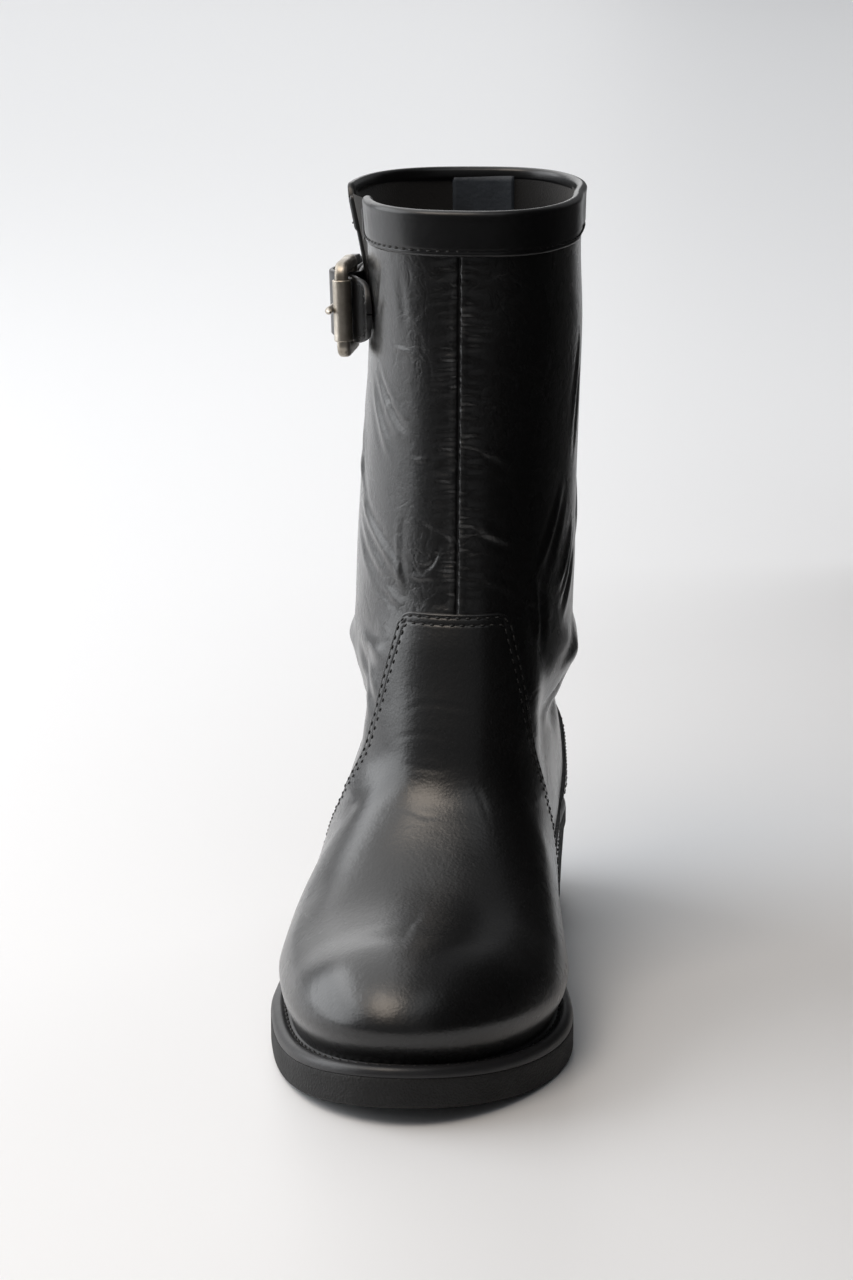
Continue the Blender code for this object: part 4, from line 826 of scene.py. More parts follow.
def vamp_chart():
    """Turn and rise of the vamp's grid: even arc lengths both ways, finer at the lapped edge.

    The top edge falls by r (1 - sqrt(1 - q^2)) at the corners, q its share of the radius r.
    """
    rises = np.linspace(0.0, 1.0, 101)
    drops = np.array([6.0, 5.4, 4.9, 4.6, 4.3, 4.0, 3.7, 3.2, 2.7, 2.3, 2.0, 1.7, 1.4, 1.1, 0.8, 0.55, 0.3,
                      0.12, 0.0]) / 1000.0
    rows, columns = 205, 92
    halves = []
    for side in (-1.0, 1.0):
        edge = vamp_edge(rises, side)[:, None]
        t = np.linspace(0.0, 1.0, 60)
        run = run_along(cast_skin(side * edge * t, np.repeat(rises[:, None], 60, axis=1)), 1)
        arcs = [np.concatenate([np.linspace(0.0, row[-1] - EDGE_ZONE, columns), row[-1] - drops])
                for row in run]
        halves.append(side * edge * np.array([np.interp(arc, row, t) for arc, row in zip(arcs, run)]))
    turn = np.concatenate([halves[0][:, :0:-1], halves[1]], axis=1)
    count = turn.shape[1]
    skin = cast_skin(turn, np.repeat(rises[:, None], count, axis=1))
    climb = run_along(skin, 0)
    across = run_along(skin[-1], 0)
    corner = np.clip(1.0 - np.minimum(across, across[-1] - across) / VAMP_CORNER, 0.0, 0.999)
    fall = VAMP_CORNER * (1.0 - np.sqrt(1.0 - corner ** 2))
    turn_grid, rise_grid = [], []
    for c in range(count):
        top = climb[-1, c] - fall[c]
        arcs = np.concatenate([np.linspace(0.0, top - EDGE_ZONE, rows), top - drops])
        rise = np.interp(arcs, climb[:, c], rises)
        rise_grid.append(rise)
        turn_grid.append(np.interp(rise, rises, turn[:, c]))
    from_side = np.concatenate([drops[::-1], np.full(count - 2 * len(drops), 0.01), drops])
    from_top = np.concatenate([np.full(rows, 0.01), drops])
    return np.array(turn_grid).T, np.array(rise_grid).T, from_side, from_top


def rounded(distance, radius):
    """Quarter circle sqrt(1 - (1 - d/r)^2), 1 beyond the radius."""
    return np.sqrt(1.0 - (1.0 - np.clip(distance / radius, 0.0, 1.0)) ** 2)


vamp_turn, vamp_rise, from_side, from_top = vamp_chart()
vamp_base = cast_skin(vamp_turn, vamp_rise)
edge_round = rounded(from_side, EDGE_ROUND)[None, :] * rounded(from_top, EDGE_ROUND)[:, None]
stitch_dip = np.zeros_like(edge_round)
for distance in VAMP_STITCHES:
    stitch_dip += np.exp(-((from_side[None, :] - distance) / 0.0005) ** 2) * (from_top[:, None] > 0.003)
    stitch_dip += np.exp(-((from_top[:, None] - distance) / 0.0005) ** 2) * (from_side[None, :] > 0.003)
vamp_lift = OVERLAY * edge_round * (0.55 + 0.45 * ease(vamp_rise / 0.03)) - STITCH_DIP * stitch_dip
placed(make_sheet("vamp_leather", on_leather(vamp_base, vamp_lift), black_leather), "upper_leather")


# Counter: a stiffened piece of the same leather round the heel, lapped over the shaft with
# a stitched, inked edge. It is skived thin where it runs under the vamp.
COUNTER_EDGE = np.array(((-0.340, 0.53), (-0.210, 0.57), (-0.086, 0.67), (0.007, 0.81), (0.070, 0.93),
                         (0.120, 1.00))).T
COUNTER_STITCHES, UNDER_VAMP, RISE_HEIGHT = (0.0022, 0.0046), 0.012, 0.13


def counter_grid():
    """Rows from the foot to the counter's line, columns from vamp edge round to vamp edge."""
    shares = np.concatenate([np.linspace(0.0, 1.0, 131), np.linspace(1.0, 2.0, 131)[1:]])
    rises = np.linspace(0.0, 0.9, 80)
    share, rise = np.meshgrid(shares, rises)
    left = UNDER_VAMP - vamp_edge(rise, -1.0)
    right = vamp_edge(rise, 1.0) - UNDER_VAMP
    turn = np.where(share <= 1.0, left + (-1.0 - left) * share, 1.0 + (right - 1.0) * (share - 1.0))
    points = cast_skin(turn, rise)
    line = smooth_between(points[..., 1] / LENGTH, COUNTER_EDGE[0], COUNTER_EDGE[1] * COUNTER_HEIGHT)
    above = np.maximum.accumulate(points[..., 2] - line, axis=0)
    tops = np.array([np.interp(0.0, above[:, c], rises) for c in range(len(shares))])
    drops = np.array([4.0, 3.0, 2.2, 1.5, 1.0, 0.6, 0.3, 0.1, 0.0]) / 1000.0
    low = np.linspace(0.0, 1.0, 60)[:, None] * (tops - 0.0050 / RISE_HEIGHT)[None, :]
    high = tops[None, :] - drops[:, None] / RISE_HEIGHT
    rise = np.concatenate([low, high])
    turn = np.stack([np.interp(rise[:, c], rises, turn[:, c]) for c in range(len(shares))], axis=1)
    from_top = np.concatenate([np.full(60, 0.01), drops])
    from_side = np.minimum(shares, 2.0 - shares)
    return turn, rise, from_top, from_side


counter_turn, counter_rise, counter_top, counter_side = counter_grid()
counter_base = cast_skin(counter_turn, counter_rise)
skived = 0.12 + 0.88 * ease((counter_side - 0.025) / 0.05)
counter_lift = OVERLAY * rounded(counter_top, EDGE_ROUND)[:, None] * skived[None, :]
counter_lift = counter_lift * (0.55 + 0.45 * ease(counter_rise / 0.05))
counter_lift -= STITCH_DIP * np.exp(-((counter_top - COUNTER_STITCHES[0]) / 0.0006) ** 2)[:, None]
placed(make_sheet("heel_counter", on_leather(counter_base, counter_lift), black_leather), "upper_leather")


# Collar band: a folded strip of smoother leather round the top. It laps over the shaft,
# turns over the rim in a full roll and is sewn down with one row of stitches.
CORNER, COLLAR_GIRTH, BAND_STITCH, SLIT_FADE = 0.0045, 0.33, 0.0021, 0.014


def band_points():
    """Profile up the outside, half circle over the rim and down inside; its corners fall round."""
    roll = 0.5 * (WALL + OVERLAY)
    foot = BOOT_HEIGHT - BAND_HEIGHT
    profile = [(foot + up / 1000.0, share * OVERLAY) for up, share in
               ((0.0, 0.0), (0.1, 0.35), (0.4, 0.75), (0.9, 0.97), (1.5, 0.92), (2.1, 0.80), (2.7, 0.92))]
    profile += [(z, OVERLAY) for z in np.linspace(foot + 0.0035, BOOT_HEIGHT - roll - 0.0006, 12)]
    middle = 0.5 * (OVERLAY - WALL)
    angle = np.linspace(0.0, math.pi, 15)
    profile += list(zip(BOOT_HEIGHT - roll + 0.0008 + 1.05 * roll * np.sin(angle),
                        middle + (roll + 0.0002) * np.cos(angle)))
    profile += [(z, -WALL - 0.0003) for z in np.linspace(BOOT_HEIGHT - roll, BOOT_HEIGHT - 0.0034, 3)]
    profile += [(BOOT_HEIGHT - 0.0038, -WALL), (BOOT_HEIGHT - 0.0040, -WALL + 0.0004)]
    heights, lifts = np.array(profile).T
    share, height = np.meshgrid(np.linspace(0.0, 1.0, 521), heights)
    corner = np.clip(1.0 - np.minimum(share, 1.0 - share) * COLLAR_GIRTH / CORNER, 0.0, 1.0)
    height = height - CORNER * (1.0 - np.sqrt(1.0 - corner ** 2)) * ease((height - foot) / BAND_HEIGHT)
    rise = rise_at(height, 0.0)
    for _ in range(3):
        turn = shaft_turn(share, np.clip(rise, 1.0, 2.0))
        rise = rise_at(height, turn)
    wave = 0.00035 * np.sin(3.0 * math.pi * turn + 0.7) + 0.00025 * np.sin(7.0 * math.pi * turn)
    fade = 0.2 + 0.8 * ease(share * COLLAR_GIRTH / SLIT_FADE)
    lift = np.maximum(lifts, 0.0)[:, None] * fade + np.minimum(lifts, 0.0)[:, None]
    return on_leather(cast_skin(turn, rise), lift + wave)


# Smooth leather, lightly finished: finer and a little duller than the shaft, grain 2 mm wide.
band_leather = grained("smooth collar leather", ((60.0, 3.0, 0.0003), (480.0, 3.0, 0.00005)),
                       gloss=(0.28, 0.44), Base_Color=srgb("08080a"), Roughness=0.34, IOR=1.46,
                       Coat_Weight=0.25, Coat_Roughness=0.25)
placed(make_sheet("collar_band", band_points(), band_leather), "upper_leather")


# Lining: dark suede-like leather on the inside of shaft and vamp, down to the sole. It is
# cemented to the outer leather, and the collar band turns over its top edge.
# Brushed suede: no gloss, a dark uneven nap in tufts of 0.7 mm and clouds of 8 mm.
suede = grained("dark suede lining", ((120.0, 4.0, 0.0003), (1400.0, 2.0, 0.0002)),
                tones=("0a0a0b", "171719"), Base_Color=srgb("17171a"), Roughness=0.92, IOR=1.40,
                Sheen_Weight=0.12, Sheen_Roughness=0.6)
lining_rises = np.concatenate([np.linspace(0.02, 1.0, 70)[:-1], np.linspace(1.0, 1.985, 86)])
share_grid, rise_grid = np.meshgrid(np.linspace(0.0, 1.0, 241), lining_rises)
lining_base = cast_skin(shaft_turn(share_grid, rise_grid), rise_grid)
tip_row = int(np.sum(lining_base[:, 0, 2] < GUSSET_TIP))
placed(make_sheet("suede_lining", on_leather(lining_base, -WALL), suede, weld=tip_row), "upper_leather")


# Gusset: soft wedge of matte black suede that lets the shaft open. It is sewn behind the
# slit's two edges and folded a little inwards.
SEWN_IN, GUSSET_SET, GUSSET_FOLD = 0.005, 0.0016, 0.0007
gusset_z = np.linspace(GUSSET_TIP - SEWN_IN, BOOT_HEIGHT - 0.0025, 90)
gusset_front, gusset_back = slit_edges(gusset_z)
across = np.linspace(0.0, 1.0, 70)
gusset_wide = gusset_back - gusset_front + 2.0 * SEWN_IN
gusset_y = (gusset_front - SEWN_IN)[:, None] + gusset_wide[:, None] * across


def on_side(y, z):
    """Point on the form's lateral side at y and z."""
    y, z = np.broadcast_arrays(np.asarray(y, float), z)
    start = np.stack([np.zeros(y.shape), y, z], axis=-1)
    return leave_form(start, np.broadcast_to((-1.0, 0.0, 0.0), start.shape), 0.08)


gusset_base = on_side(gusset_y, gusset_z[:, None])
open_share = ease((gusset_z - GUSSET_TIP) / 0.03)[:, None]
gusset_lift = GUSSET_FOLD * (across - np.sin(math.pi * across) ** 2 * open_share) - GUSSET_SET
gusset_skin = gusset_base + outward(gusset_base) * gusset_lift[..., None]
# Dyed suede: it swallows nearly all light, with a nap of 0.8 mm.
gusset_suede = grained("matte black gusset suede", ((1300.0, 2.0, 0.0002),), Base_Color=srgb("0c0c0d"),
                       Roughness=0.95, IOR=1.40, Sheen_Weight=0.1)
placed(make_sheet("gusset_wedge", gusset_skin, gusset_suede), "gusset_suede", "gusset")


# Slit binding: the collar's leather folded round the slit's edges, a narrow rounded bead. It
# is thicker beside the band and ends in a dome at the band's rounded corners.
def unit(vector):
    """v / |v|."""
    return vector / np.linalg.norm(vector, axis=-1, keepdims=True)


def along_path(path, across):
    """Unit vectors along a path, across it (as near across as can be) and out."""
    ahead = unit(np.gradient(path, axis=0))
    across = unit(across - ahead * np.sum(ahead * across, axis=-1, keepdims=True))
    return ahead, across, np.cross(across, ahead)


def sweep(path, across, half_across, half_out, profile):
    """Rings p + a x across + b y out along a path, for a profile (x, y) and halves a and b."""
    _, across, out = along_path(path, across)
    return (path[:, None, :] + across[:, None, :] * (half_across[:, None] * profile[None, :, 0])[..., None]
            + out[:, None, :] * (half_out[:, None] * profile[None, :, 1])[..., None])


def circle(count, power=2.0):
    """Points (cos t, sin t) / (|cos t|^p + |sin t|^p)^(1/p), squarer than a circle above p 2."""
    angle = np.arange(count) * 2.0 * math.pi / count
    points = np.stack([np.cos(angle), np.sin(angle)], axis=-1)
    return points / np.sum(np.abs(points) ** power, axis=-1, keepdims=True) ** (1.0 / power)


top, dome_radius = BOOT_HEIGHT - CORNER + 0.0012, 0.0019
dome_z = top - dome_radius * (1.0 - np.cos(np.linspace(0.0, math.pi / 2, 9)))
binding_z = np.concatenate([dome_z, np.linspace(top - 0.0024, GUSSET_TIP + 0.0003, 70)])
front_y, back_y = slit_edges(binding_z)
binding_y = np.concatenate([front_y - 0.0002, back_y[::-1] + 0.0002])
binding_z = np.concatenate([binding_z, binding_z[::-1]])
binding_base = on_side(binding_y, binding_z)
binding_out = outward(binding_base)
beside = ease((binding_z - BOOT_HEIGHT + BAND_HEIGHT + 0.0004) / 0.0008)
beside[len(front_y):] *= 0.4
dome = rounded(top + 0.00002 - binding_z, dome_radius)
binding_path = binding_base + binding_out * (0.5 * (OVERLAY * beside - WALL))[:, None]
half_wide = (0.5 * (WALL + OVERLAY * beside) + 0.0002) * dome
binding = sweep(binding_path, binding_out, half_wide, (0.0009 + 0.0004 * beside) * dome, circle(20))
placed(make_sheet("slit_binding", binding, band_leather, around=True), "upper_leather")


# Lining patch: strip of blue-grey leather on the lining inside the back, which covers its
# seam. It is sewn along its edges and reaches up to the collar's roll.
PATCH_HALF, PATCH_FOOT, PATCH_TOP, PATCH_THICK = 0.0125, BOOT_HEIGHT - 0.074, BOOT_HEIGHT - 0.0022, 0.0012
patch_z, patch_x = np.meshgrid(np.linspace(PATCH_FOOT, PATCH_TOP, 60),
                               np.linspace(-PATCH_HALF, PATCH_HALF, 40), indexing="ij")
patch_base = snapped(np.stack([patch_x, np.full_like(patch_x, SHAFT_SETBACK + 0.061), patch_z], axis=-1))
patch_ends = np.minimum(patch_z - patch_z.min(), patch_z.max() - patch_z)
patch_edge = np.minimum(PATCH_HALF - np.abs(patch_x), patch_ends)
patch_skin = on_leather(patch_base, -WALL - PATCH_THICK * rounded(patch_edge, 0.001))
# Lining leather, drum-dyed: half matt blue-grey, mottled in patches of 11 mm.
patch_leather = grained("blue-grey lining patch", ((90.0, 4.0, 0.0002), (600.0, 4.0, 0.0002)),
                        tones=("20242a", "3c434c"), Base_Color=srgb("2e333a"), Roughness=0.6, IOR=1.46)
placed(make_sheet("inside_patch", patch_skin, patch_leather), "patch_leather", "lining_patch")


# Strap: polished leather, cut, edge-inked and sewn on the front panel. It runs under the
# roller, over the heel bar and through the keeper, and its round tail lies on the chape.
STRAP_WIDTH, STRAP_THICK, STRAP_HEIGHT, CHAPE_THICK, CHAPE_WIDTH = 0.0245, 0.0022, 0.2455, 0.0018, 0.0225
BAR_RADIUS, ROLLER_RADIUS, PRONG_RADIUS, LAYER_GAP = 0.0024, 0.0035, 0.0013, 0.0005
ROLLER_SET, HEEL_BAR_SET, KEEPER_SET, KEEPER_WIDTH, KEEPER_THICK = -0.064, -0.040, -0.018, 0.008, 0.0012
STRAP_START, SEWN_TO, STRAP_END, CHAPE_END = -0.0745, -0.0700, 0.008, -0.006
FRAME_TALL, FRAME_CORNER, ROLLER_LIFT, HEEL_BAR_LIFT, STRAP_STITCH = 0.035, 0.0026, 0.0102, 0.0062, 0.0022


def lifted(y, z, lift):
    """Point on the lateral side, lift off the leather."""
    points = on_side(y, z)
    return points + outward(points) * lift


def strap_edges(y):
    """Points of the form at the strap's upper and lower edge."""
    return on_side(y, STRAP_HEIGHT + 0.5 * STRAP_WIDTH), on_side(y, STRAP_HEIGHT - 0.5 * STRAP_WIDTH)


def on_band(y, lift):
    """Point for a flat strap at y: it bridges a hollow between its edges by the chord's height."""
    high, low = strap_edges(y)
    middle = on_side(y, STRAP_HEIGHT)
    out = outward(middle)
    bridge = np.clip(np.sum((0.5 * (high + low) - middle) * out, axis=-1), 0.0, None)
    return middle + out * (bridge + lift)[..., None]


bar_front = lifted(ROLLER_SET, STRAP_HEIGHT, ROLLER_LIFT)
bar_back = lifted(HEEL_BAR_SET, STRAP_HEIGHT, HEEL_BAR_LIFT)
buckle_middle = 0.5 * (bar_front + bar_back)
to_rear = unit(bar_back - bar_front)
to_up = np.subtract(*strap_edges(0.5 * (ROLLER_SET + HEEL_BAR_SET)))
to_up = unit(to_up - to_rear * np.dot(to_up, to_rear))
to_out = np.cross(to_up, to_rear)
to_out = to_out * -np.sign(to_out[0])
span = float(np.dot(bar_back - buckle_middle, to_rear))


def in_buckle(rear, up, out):
    """Buckle's middle plus distances backwards, up and outwards."""
    rear, up, out = np.broadcast_arrays(np.asarray(rear, float), up, out)
    return buckle_middle + rear[..., None] * to_rear + up[..., None] * to_up + out[..., None] * to_out


def smooth_path(points, count):
    """Cubic through the points at even steps of their summed distances."""
    run = run_along(points, 0)
    at = np.linspace(0.0, run[-1], count)
    return np.stack([smooth_between(at, run, column) for column in np.transpose(points)], axis=-1)


def strap_across(path):
    """Direction across the strap: the shaft's side, eased to the buckle's own near the buckle."""
    side = unit(np.subtract(*strap_edges(path[:, 1])))
    mix = ease((np.abs((path - buckle_middle) @ to_rear) - span) / 0.012)[:, None]
    return unit(side * mix + to_up * (1.0 - mix))


def band_profile(width, thick):
    """Half of a flat section with rounded edges, mirrored: straight face, then a half ellipse."""
    edge = 0.42 * thick
    angle = np.linspace(-math.pi / 2, math.pi / 2, 9)[1:-1]
    flat = 0.5 * width - edge
    across = np.concatenate([np.linspace(-flat, flat, 12), flat + edge * np.cos(angle)])
    out = 0.5 * thick * np.concatenate([np.full(12, -1.0), np.sin(angle)])
    return np.concatenate([np.stack([across, out], axis=-1), np.stack([-across, -out], axis=-1)])


def flat_strap(name, path, width, thick, narrow):
    """Strap of sections across the path; narrow shares their width, for round ends."""
    points = sweep(path, strap_across(path), narrow, np.ones(len(path)), band_profile(width, thick))
    return make_sheet(name, points, strap_leather, around=True)


def round_ends(path, width):
    """Share of the width sqrt(1 - (1 - s / half width)^2) at s from either end."""
    run = run_along(path, 0)
    end = np.minimum(run, run[-1] - run) / (0.5 * width)
    return np.maximum(rounded(end, 1.0), 0.02)


half = 0.5 * STRAP_THICK
over_bar = BAR_RADIUS + 2.0 * (GAP + PRONG_RADIUS) + half
tail = LAYER_GAP + 2.0 * CHAPE_THICK + GAP + KEEPER_THICK + 2.0 * GAP + half
strap_points = [on_band(y, half + LAYER_GAP) for y in (STRAP_START, 0.5 * (STRAP_START + SEWN_TO), SEWN_TO)]
strap_points += [in_buckle(-span, 0.0, -ROLLER_RADIUS - GAP - half - 0.0008),
                 in_buckle(-0.1 * span, 0.0, 0.15 * over_bar), in_buckle(span, 0.0, over_bar + 0.0004),
                 on_band(KEEPER_SET - KEEPER_WIDTH, tail + 0.0012), on_band(KEEPER_SET, tail + 0.0004),
                 on_band(-0.005, tail), on_band(STRAP_END, tail)]
strap_path = smooth_path(strap_points, 200)
# Strap leather, pressed and polished: firm satin face, grain drawn 1.5 mm wide.
strap_leather = grained("polished strap leather", ((110.0, 4.0, 0.0002), (650.0, 4.0, 0.00008)),
                        gloss=(0.30, 0.50), Base_Color=srgb("0f0f10"), Roughness=0.38, IOR=1.47,
                        Coat_Weight=0.25, Coat_Roughness=0.28)
strap_narrow = round_ends(strap_path, STRAP_WIDTH)
strap = flat_strap("buckled_strap", strap_path, STRAP_WIDTH, STRAP_THICK, strap_narrow)
placed(strap, "strap_leather", "strap")
strap_up, strap_out = along_path(strap_path, strap_across(strap_path))[1:]


# Chape: short strap of the same leather that holds the buckle. It is folded round the heel
# bar, and its two leaves are sewn down on the back panel.
half = 0.5 * CHAPE_THICK
wrap = BAR_RADIUS + GAP + half
angle = np.radians(np.linspace(-95.0, -310.0, 24))
rest = np.linspace(CHAPE_END, HEEL_BAR_SET + 0.007, 24)
chape_path = np.concatenate([on_band(rest, half + LAYER_GAP),
                             in_buckle(span + wrap * np.cos(angle), 0.0, wrap * np.sin(angle)),
                             on_band(rest[::-1], half + LAYER_GAP + CHAPE_THICK + GAP)])
chape = flat_strap("folded_chape", chape_path, CHAPE_WIDTH, CHAPE_THICK, np.ones(len(chape_path)))
placed(chape, "strap_leather", "buckle_chape")


# Keeper: narrow loop of the same leather round strap and chape, which holds the strap's tail.
# It is bent from a flat strip, its ends butted and sewn.
near = int(np.argmin(np.abs(strap_path[:, 1] - KEEPER_SET)))
keeper_ahead = unit(strap_path[near + 2] - strap_path[near - 2])
keeper_up = strap_up[near]
keeper_out = unit(np.cross(keeper_up, keeper_ahead))


def loop_ring(thick, shift):
    """Superellipse ring |a/A|^8 + |b/B|^8 = 1 round the strap, shifted along it."""
    sides = (0.5 * STRAP_WIDTH + 2.0 * GAP + thick, 0.5 * STRAP_THICK + 1.5 * GAP + thick)
    ring = circle(96, 8.0) * sides @ np.array([keeper_up, keeper_out])
    return strap_path[near] + ring + keeper_ahead * shift * KEEPER_WIDTH


# thickness (share of KEEPER_THICK) and place (share of KEEPER_WIDTH) of the rings
KEEPER_SECTION = ((0.0, -0.46), (0.3, -0.5), (0.8, -0.48), (1.0, -0.42), (1.0, -0.2), (1.0, 0.2), (1.0, 0.42),
                  (0.8, 0.48), (0.3, 0.5), (0.0, 0.46), (0.0, 0.0), (0.0, -0.46))
keeper_rings = np.array([loop_ring(thick * KEEPER_THICK, shift) for thick, shift in KEEPER_SECTION])
placed(make_sheet("strap_keeper", keeper_rings, strap_leather, around=True), "strap_leather", "keeper")


# Buckle: cast frame, prong and turning roller in antique nickel, plated and tumbled. The prong
# is hooked round the heel bar, and the roller turns on the front bar.
# Antique nickel: brown patina stays in clouds of 6 mm, and the high places shine.
nickel = grained("antique nickel", ((160.0, 5.0, 0.0002), (900.0, 3.0, 0.00004)), gloss=(0.52, 0.28),
                 tones=("857d71", "cdc6bb"), contrast=(-0.4, 1.5), Base_Color=srgb("9a9184"), Roughness=0.30,
                 Metallic=1.0)
wide = span - FRAME_CORNER
tall = 0.5 * FRAME_TALL - BAR_RADIUS - FRAME_CORNER
frame_rear, frame_up = [], []
for quarter, (sign_rear, sign_up) in enumerate(((1, 1), (-1, 1), (-1, -1), (1, -1))):
    angle = np.linspace(0.0, math.pi / 2, 12) + quarter * math.pi / 2
    frame_rear.append(sign_rear * wide + FRAME_CORNER * np.cos(angle))
    frame_up.append(sign_up * tall + FRAME_CORNER * np.sin(angle))
frame_path = in_buckle(np.concatenate(frame_rear), np.concatenate(frame_up), 0.0)
ahead = unit(np.roll(frame_path, -1, axis=0) - np.roll(frame_path, 1, axis=0))
side = np.cross(ahead, to_out)
blunt = circle(32, 3.0) * BAR_RADIUS
frame_rings = frame_path[:, None, :] + side[:, None, :] * blunt[:, :1] + to_out * blunt[:, 1:]
frame_rings = np.concatenate([frame_rings, frame_rings[:1]])
placed(make_sheet("cast_frame", frame_rings, nickel, around=True), "antique_nickel", "buckle_frame")

# radius and distance from the middle (mm) of the roller's rings
ROLLER_SECTION = ((2.8, -11.25), (3.0, -11.25), (3.35, -11.1), (3.45, -10.8), (3.38, -10.3), (3.38, 10.3),
                  (3.45, 10.8), (3.35, 11.1), (3.0, 11.25), (2.8, 11.25))
around = circle(48)
roller_rings = np.array([in_buckle(-span + radius * around[:, 0], up, radius * around[:, 1])
                         for radius, up in np.array(ROLLER_SECTION) / 1000.0])
placed(make_sheet("turning_roller", roller_rings, nickel, around=True), "antique_nickel", "buckle_roller")

loop = BAR_RADIUS + GAP + PRONG_RADIUS
angle = np.radians(np.linspace(-150.0, 105.0, 28))
hook = np.stack([span + loop * np.cos(angle), loop * np.sin(angle)], axis=-1)
over = ROLLER_RADIUS + GAP + PRONG_RADIUS
share = np.linspace(0.0, 1.0, 16)[1:, None]
shank = hook[-1] + (np.array([-span, over]) - hook[-1]) * share
tip = np.array(((-1.3, -0.08), (-2.5, -0.3), (-3.6, -0.7), (-4.5, -1.2))) / 1000.0 + (-span, over)
prong_flat = np.concatenate([hook, shank, tip])
prong_size = np.full(len(prong_flat), PRONG_RADIUS)
prong_size[-4:] *= (0.98, 0.9, 0.75, 0.3)
prong_size[0] *= 0.3
prong_line = in_buckle(prong_flat[:, 0], 0.0, prong_flat[:, 1])
prong = sweep(prong_line, np.broadcast_to(to_up, prong_line.shape), prong_size, prong_size, circle(20))
placed(make_sheet("bent_prong", prong, nickel, around=True), "antique_nickel", "buckle_prong")


# Thread: waxed black thread, each stitch a short round loop that dips into the leather. Vamp
# and counter have double rows, band, strap and welt single ones.
# Waxed thread: black with a dull sheen.
thread = new_material("waxed black thread", Base_Color=srgb("080808"), Roughness=0.55, IOR=1.50)[0]


def at_run(values, run, where):
    """Values of a path's points at distances where along it."""
    return np.stack([np.interp(where, run, column) for column in values.T], axis=-1)


def stitch_rows(name, lines, slot):
    """Stitches along lines of (points, outward, pitch, radius) as one mesh.

    Each is five rings of six points on an arch, radius (1.3 cos(pi s) - 0.8) high, s from end
    to end.
    """
    arch = np.linspace(-0.5, 0.5, 5)
    thick = np.array([0.35, 0.9, 1.0, 0.9, 0.35])
    angle = np.arange(6) * math.pi / 3
    quads = grid_quads(np.arange(30).reshape(5, 6), True).reshape(-1, 4)
    corners, faces, count = [], [], 0
    for path, out, pitch, radius in lines:
        run = run_along(path, 0)
        places = np.arange(0.5 * pitch, run[-1] - 0.4 * pitch, pitch)
        middle, before, after = [at_run(path, run, places + off * pitch) for off in (0.0, -0.2, 0.2)]
        ahead = unit(after - before)[:, None, :]
        up = unit(at_run(out, run, places))[:, None, :]
        side = np.cross(ahead, up)
        high = radius * (1.3 * np.cos(math.pi * arch) - 0.8)
        centre = middle[:, None, :] + ahead * (0.62 * pitch * arch)[:, None] + up * high[:, None]
        ring = side[..., None, :] * np.cos(angle)[:, None] + up[..., None, :] * np.sin(angle)[:, None]
        corners.append((centre[..., None, :] + ring * radius * thick[:, None, None]).reshape(-1, 3))
        faces.append((np.arange(len(places))[:, None, None] * 30 + quads).reshape(-1, 4) + count)
        count += len(places) * 30
    mesh = bpy.data.meshes.new(name)
    mesh.from_pydata(np.concatenate(corners).tolist(), [], np.concatenate(faces).tolist())
    placed(finished(name, mesh, thread), slot)


def inset_line(path, distance):
    """Line moved inwards along the surface by distance, laid on the overlay, and its outward."""
    inwards = unit(np.cross(outward(path), np.gradient(path, axis=0)))
    points = snapped(path + inwards * distance)
    return on_leather(points, OVERLAY - 0.0001), outward(points)


vamp_outline = np.concatenate([vamp_base[8:, 0], vamp_base[-1, 1:-1], vamp_base[8:, -1][::-1]])
counter_outline = counter_base[-1, 9:-9]
stitch_height = BOOT_HEIGHT - BAND_HEIGHT + BAND_STITCH
band_turn = shaft_turn(np.linspace(0.004, 0.996, 500), rise_at(stitch_height, 0.0))
band_line = cast_skin(band_turn, rise_at(stitch_height, band_turn))
lines = [(*inset_line(vamp_outline, -distance), 0.0037, 0.00038) for distance in VAMP_STITCHES]
lines += [(*inset_line(counter_outline, distance), 0.0040, 0.00036) for distance in COUNTER_STITCHES]
inner = np.clip(0.5 * STRAP_WIDTH * strap_narrow - STRAP_STITCH, 0.0, None)
for edge in (-1.0, 1.0):
    line = strap_path + strap_up * (edge * inner)[:, None] + strap_out * 0.5 * STRAP_THICK
    for part in (strap_path[:, 1] < -0.066, strap_path[:, 1] > -0.010):
        part = part & (strap_narrow > 0.35)
        lines.append((line[part], strap_out[part], 0.0030, 0.00032))
lines.append((on_leather(band_line, 0.8 * OVERLAY), outward(band_line), 0.0035, 0.00034))
stitch_rows("upper_stitches", lines, "upper_leather")

x, y = plan_points(np.linspace(0.0, 2.0, 1401), -0.0051)
welt_line = np.stack([x, y, welt_top(y) - 0.0004], axis=-1)
straight_up = np.tile([0.0, 0.0, 1.0], (len(x), 1))
stitch_rows("welt_stitches", [(welt_line, straight_up, 0.0040, 0.0005)], "welt_leather")


# Studio: pale seamless floor, a large softbox overhead and one behind, both to the lateral
# side, a third beside the boot, a warm and a weak cool one in front, and a fill for the floor.
# Black cloths that the camera doesn't see darken the medial side.
floor_paint = new_material("pale studio floor", Base_Color=srgb("e6e7e9"), Roughness=0.45, IOR=1.40)[0]
flag_cloth = new_material("black flag cloth", Base_Color=srgb("0a0a0a"), Roughness=0.95)[0]


def stage_sheet(name, centre, along, up, material):
    """Flat rectangle centre +/- along +/- up, part of the studio."""
    centre, along, up = np.array(centre), np.array(along), np.array(up)
    points = [[centre - along - up, centre + along - up], [centre - along + up, centre + along + up]]
    sheet = make_sheet(name, np.array(points), material)
    return sheet


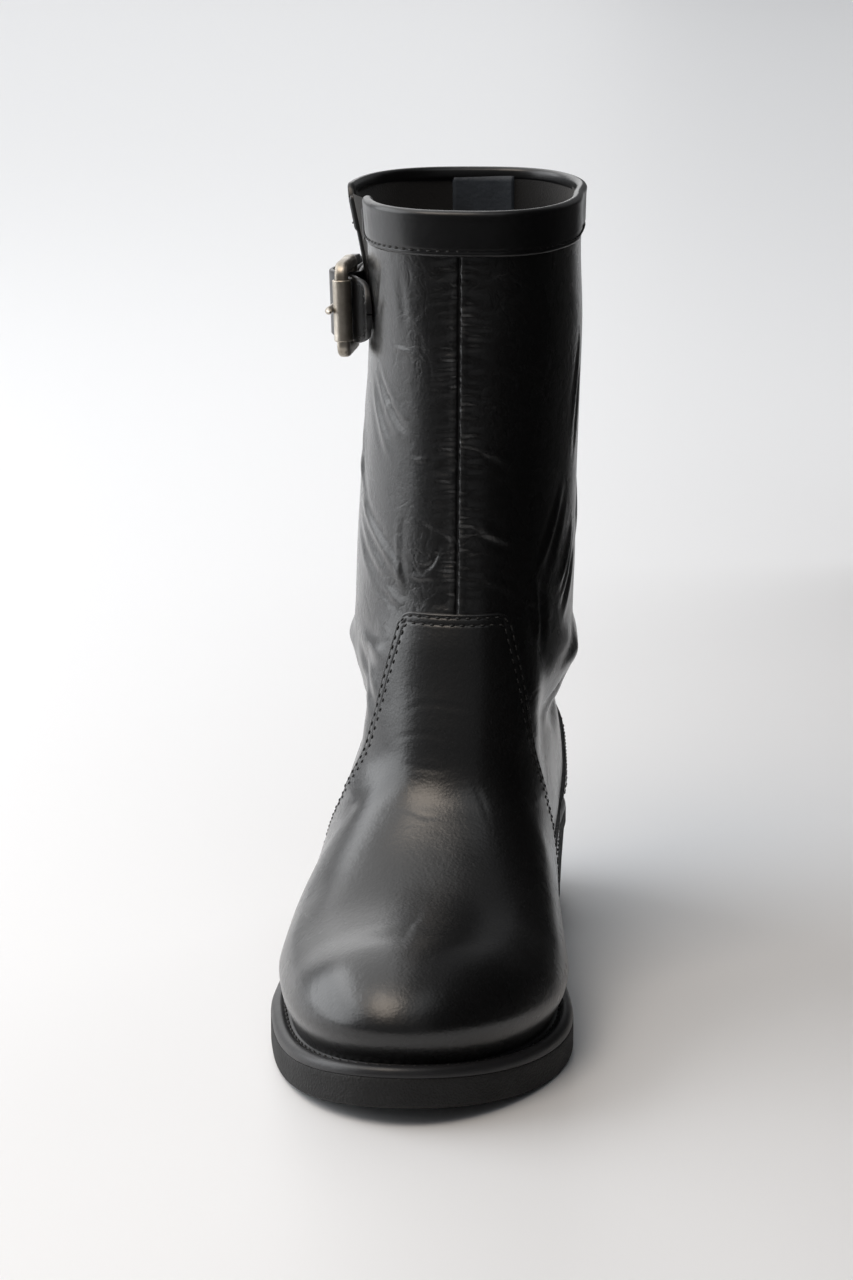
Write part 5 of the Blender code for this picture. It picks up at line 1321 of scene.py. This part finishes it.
def soft_light(name, place, aim, size, power, colour):
    """Rectangular area light at place, turned to aim."""
    lamp = bpy.data.lights.new(name, "AREA")
    lamp.shape = "RECTANGLE"
    lamp.size, lamp.size_y = size
    lamp.energy = power
    lamp.color = colour
    thing = bpy.data.objects.new(name, lamp)
    thing.location = place
    thing.rotation_euler = (Vector(aim) - Vector(place)).to_track_quat("-Z", "Y").to_euler()
    bpy.context.collection.objects.link(thing)
    return thing


stage_sheet("studio_floor", (0.0, 8.0, 0.0), (60.0, 0.0, 0.0), (0.0, 60.0, 0.0), floor_paint)
for name, centre, along, up in (("medial_flag", (0.21, 0.10, 0.165), (0.0, 0.50, 0.0), (0.0, 0.0, 0.16)),
                                ("far_medial_flag", (0.80, -0.30, 0.80), (0.0, 1.0, 0.0), (0.0, 0.0, 0.78)),
                                ("front_cloth", (0.0, -2.6, 0.002), (2.5, 0.0, 0.0), (0.0, 2.15, 0.0))):
    cloth = stage_sheet(name, centre, along, up, flag_cloth)
    cloth.visible_camera = False
cloth.visible_shadow = cloth.visible_diffuse = False
white = (1.0, 1.0, 1.0)
soft_light("overhead_softbox", (-1.9, 2.6, 2.8), (-1.9, 2.6, 0.0), (3.6, 6.6), 97.0, white)
soft_light("rear_softbox", (-3.2, 7.5, 2.2), (-3.2, 0.0, 1.4), (6.0, 3.6), 80.0, white)
soft_light("lateral_softbox", (-1.6, 0.05, 0.80), (0.0, -0.05, 0.14), (1.9, 1.4), 26.0, (0.96, 0.98, 1.0))
soft_light("warm_front", (-0.58, -0.85, 1.65), (0.0, -0.14, 0.08), (0.9, 0.9), 13.0, (1.0, 0.88, 0.76))
soft_light("cool_front", (0.37, -0.85, 1.65), (0.0, -0.14, 0.08), (1.0, 0.9), 1.8, (0.94, 0.97, 1.0))
floor_fill = soft_light("floor_fill", (3.0, 2.4, 2.8), (3.0, 2.4, 0.0), (3.0, 5.5), 92.0, white)
floor_fill.visible_glossy = False
world = bpy.data.worlds.new("studio")
bpy.context.scene.world = world
world.use_nodes = True
background = world.node_tree.nodes["Background"]
background.inputs["Color"].default_value = srgb("eeeff1")
background.inputs["Strength"].default_value = 0.20
bpy.context.scene.view_settings.view_transform = "Standard"
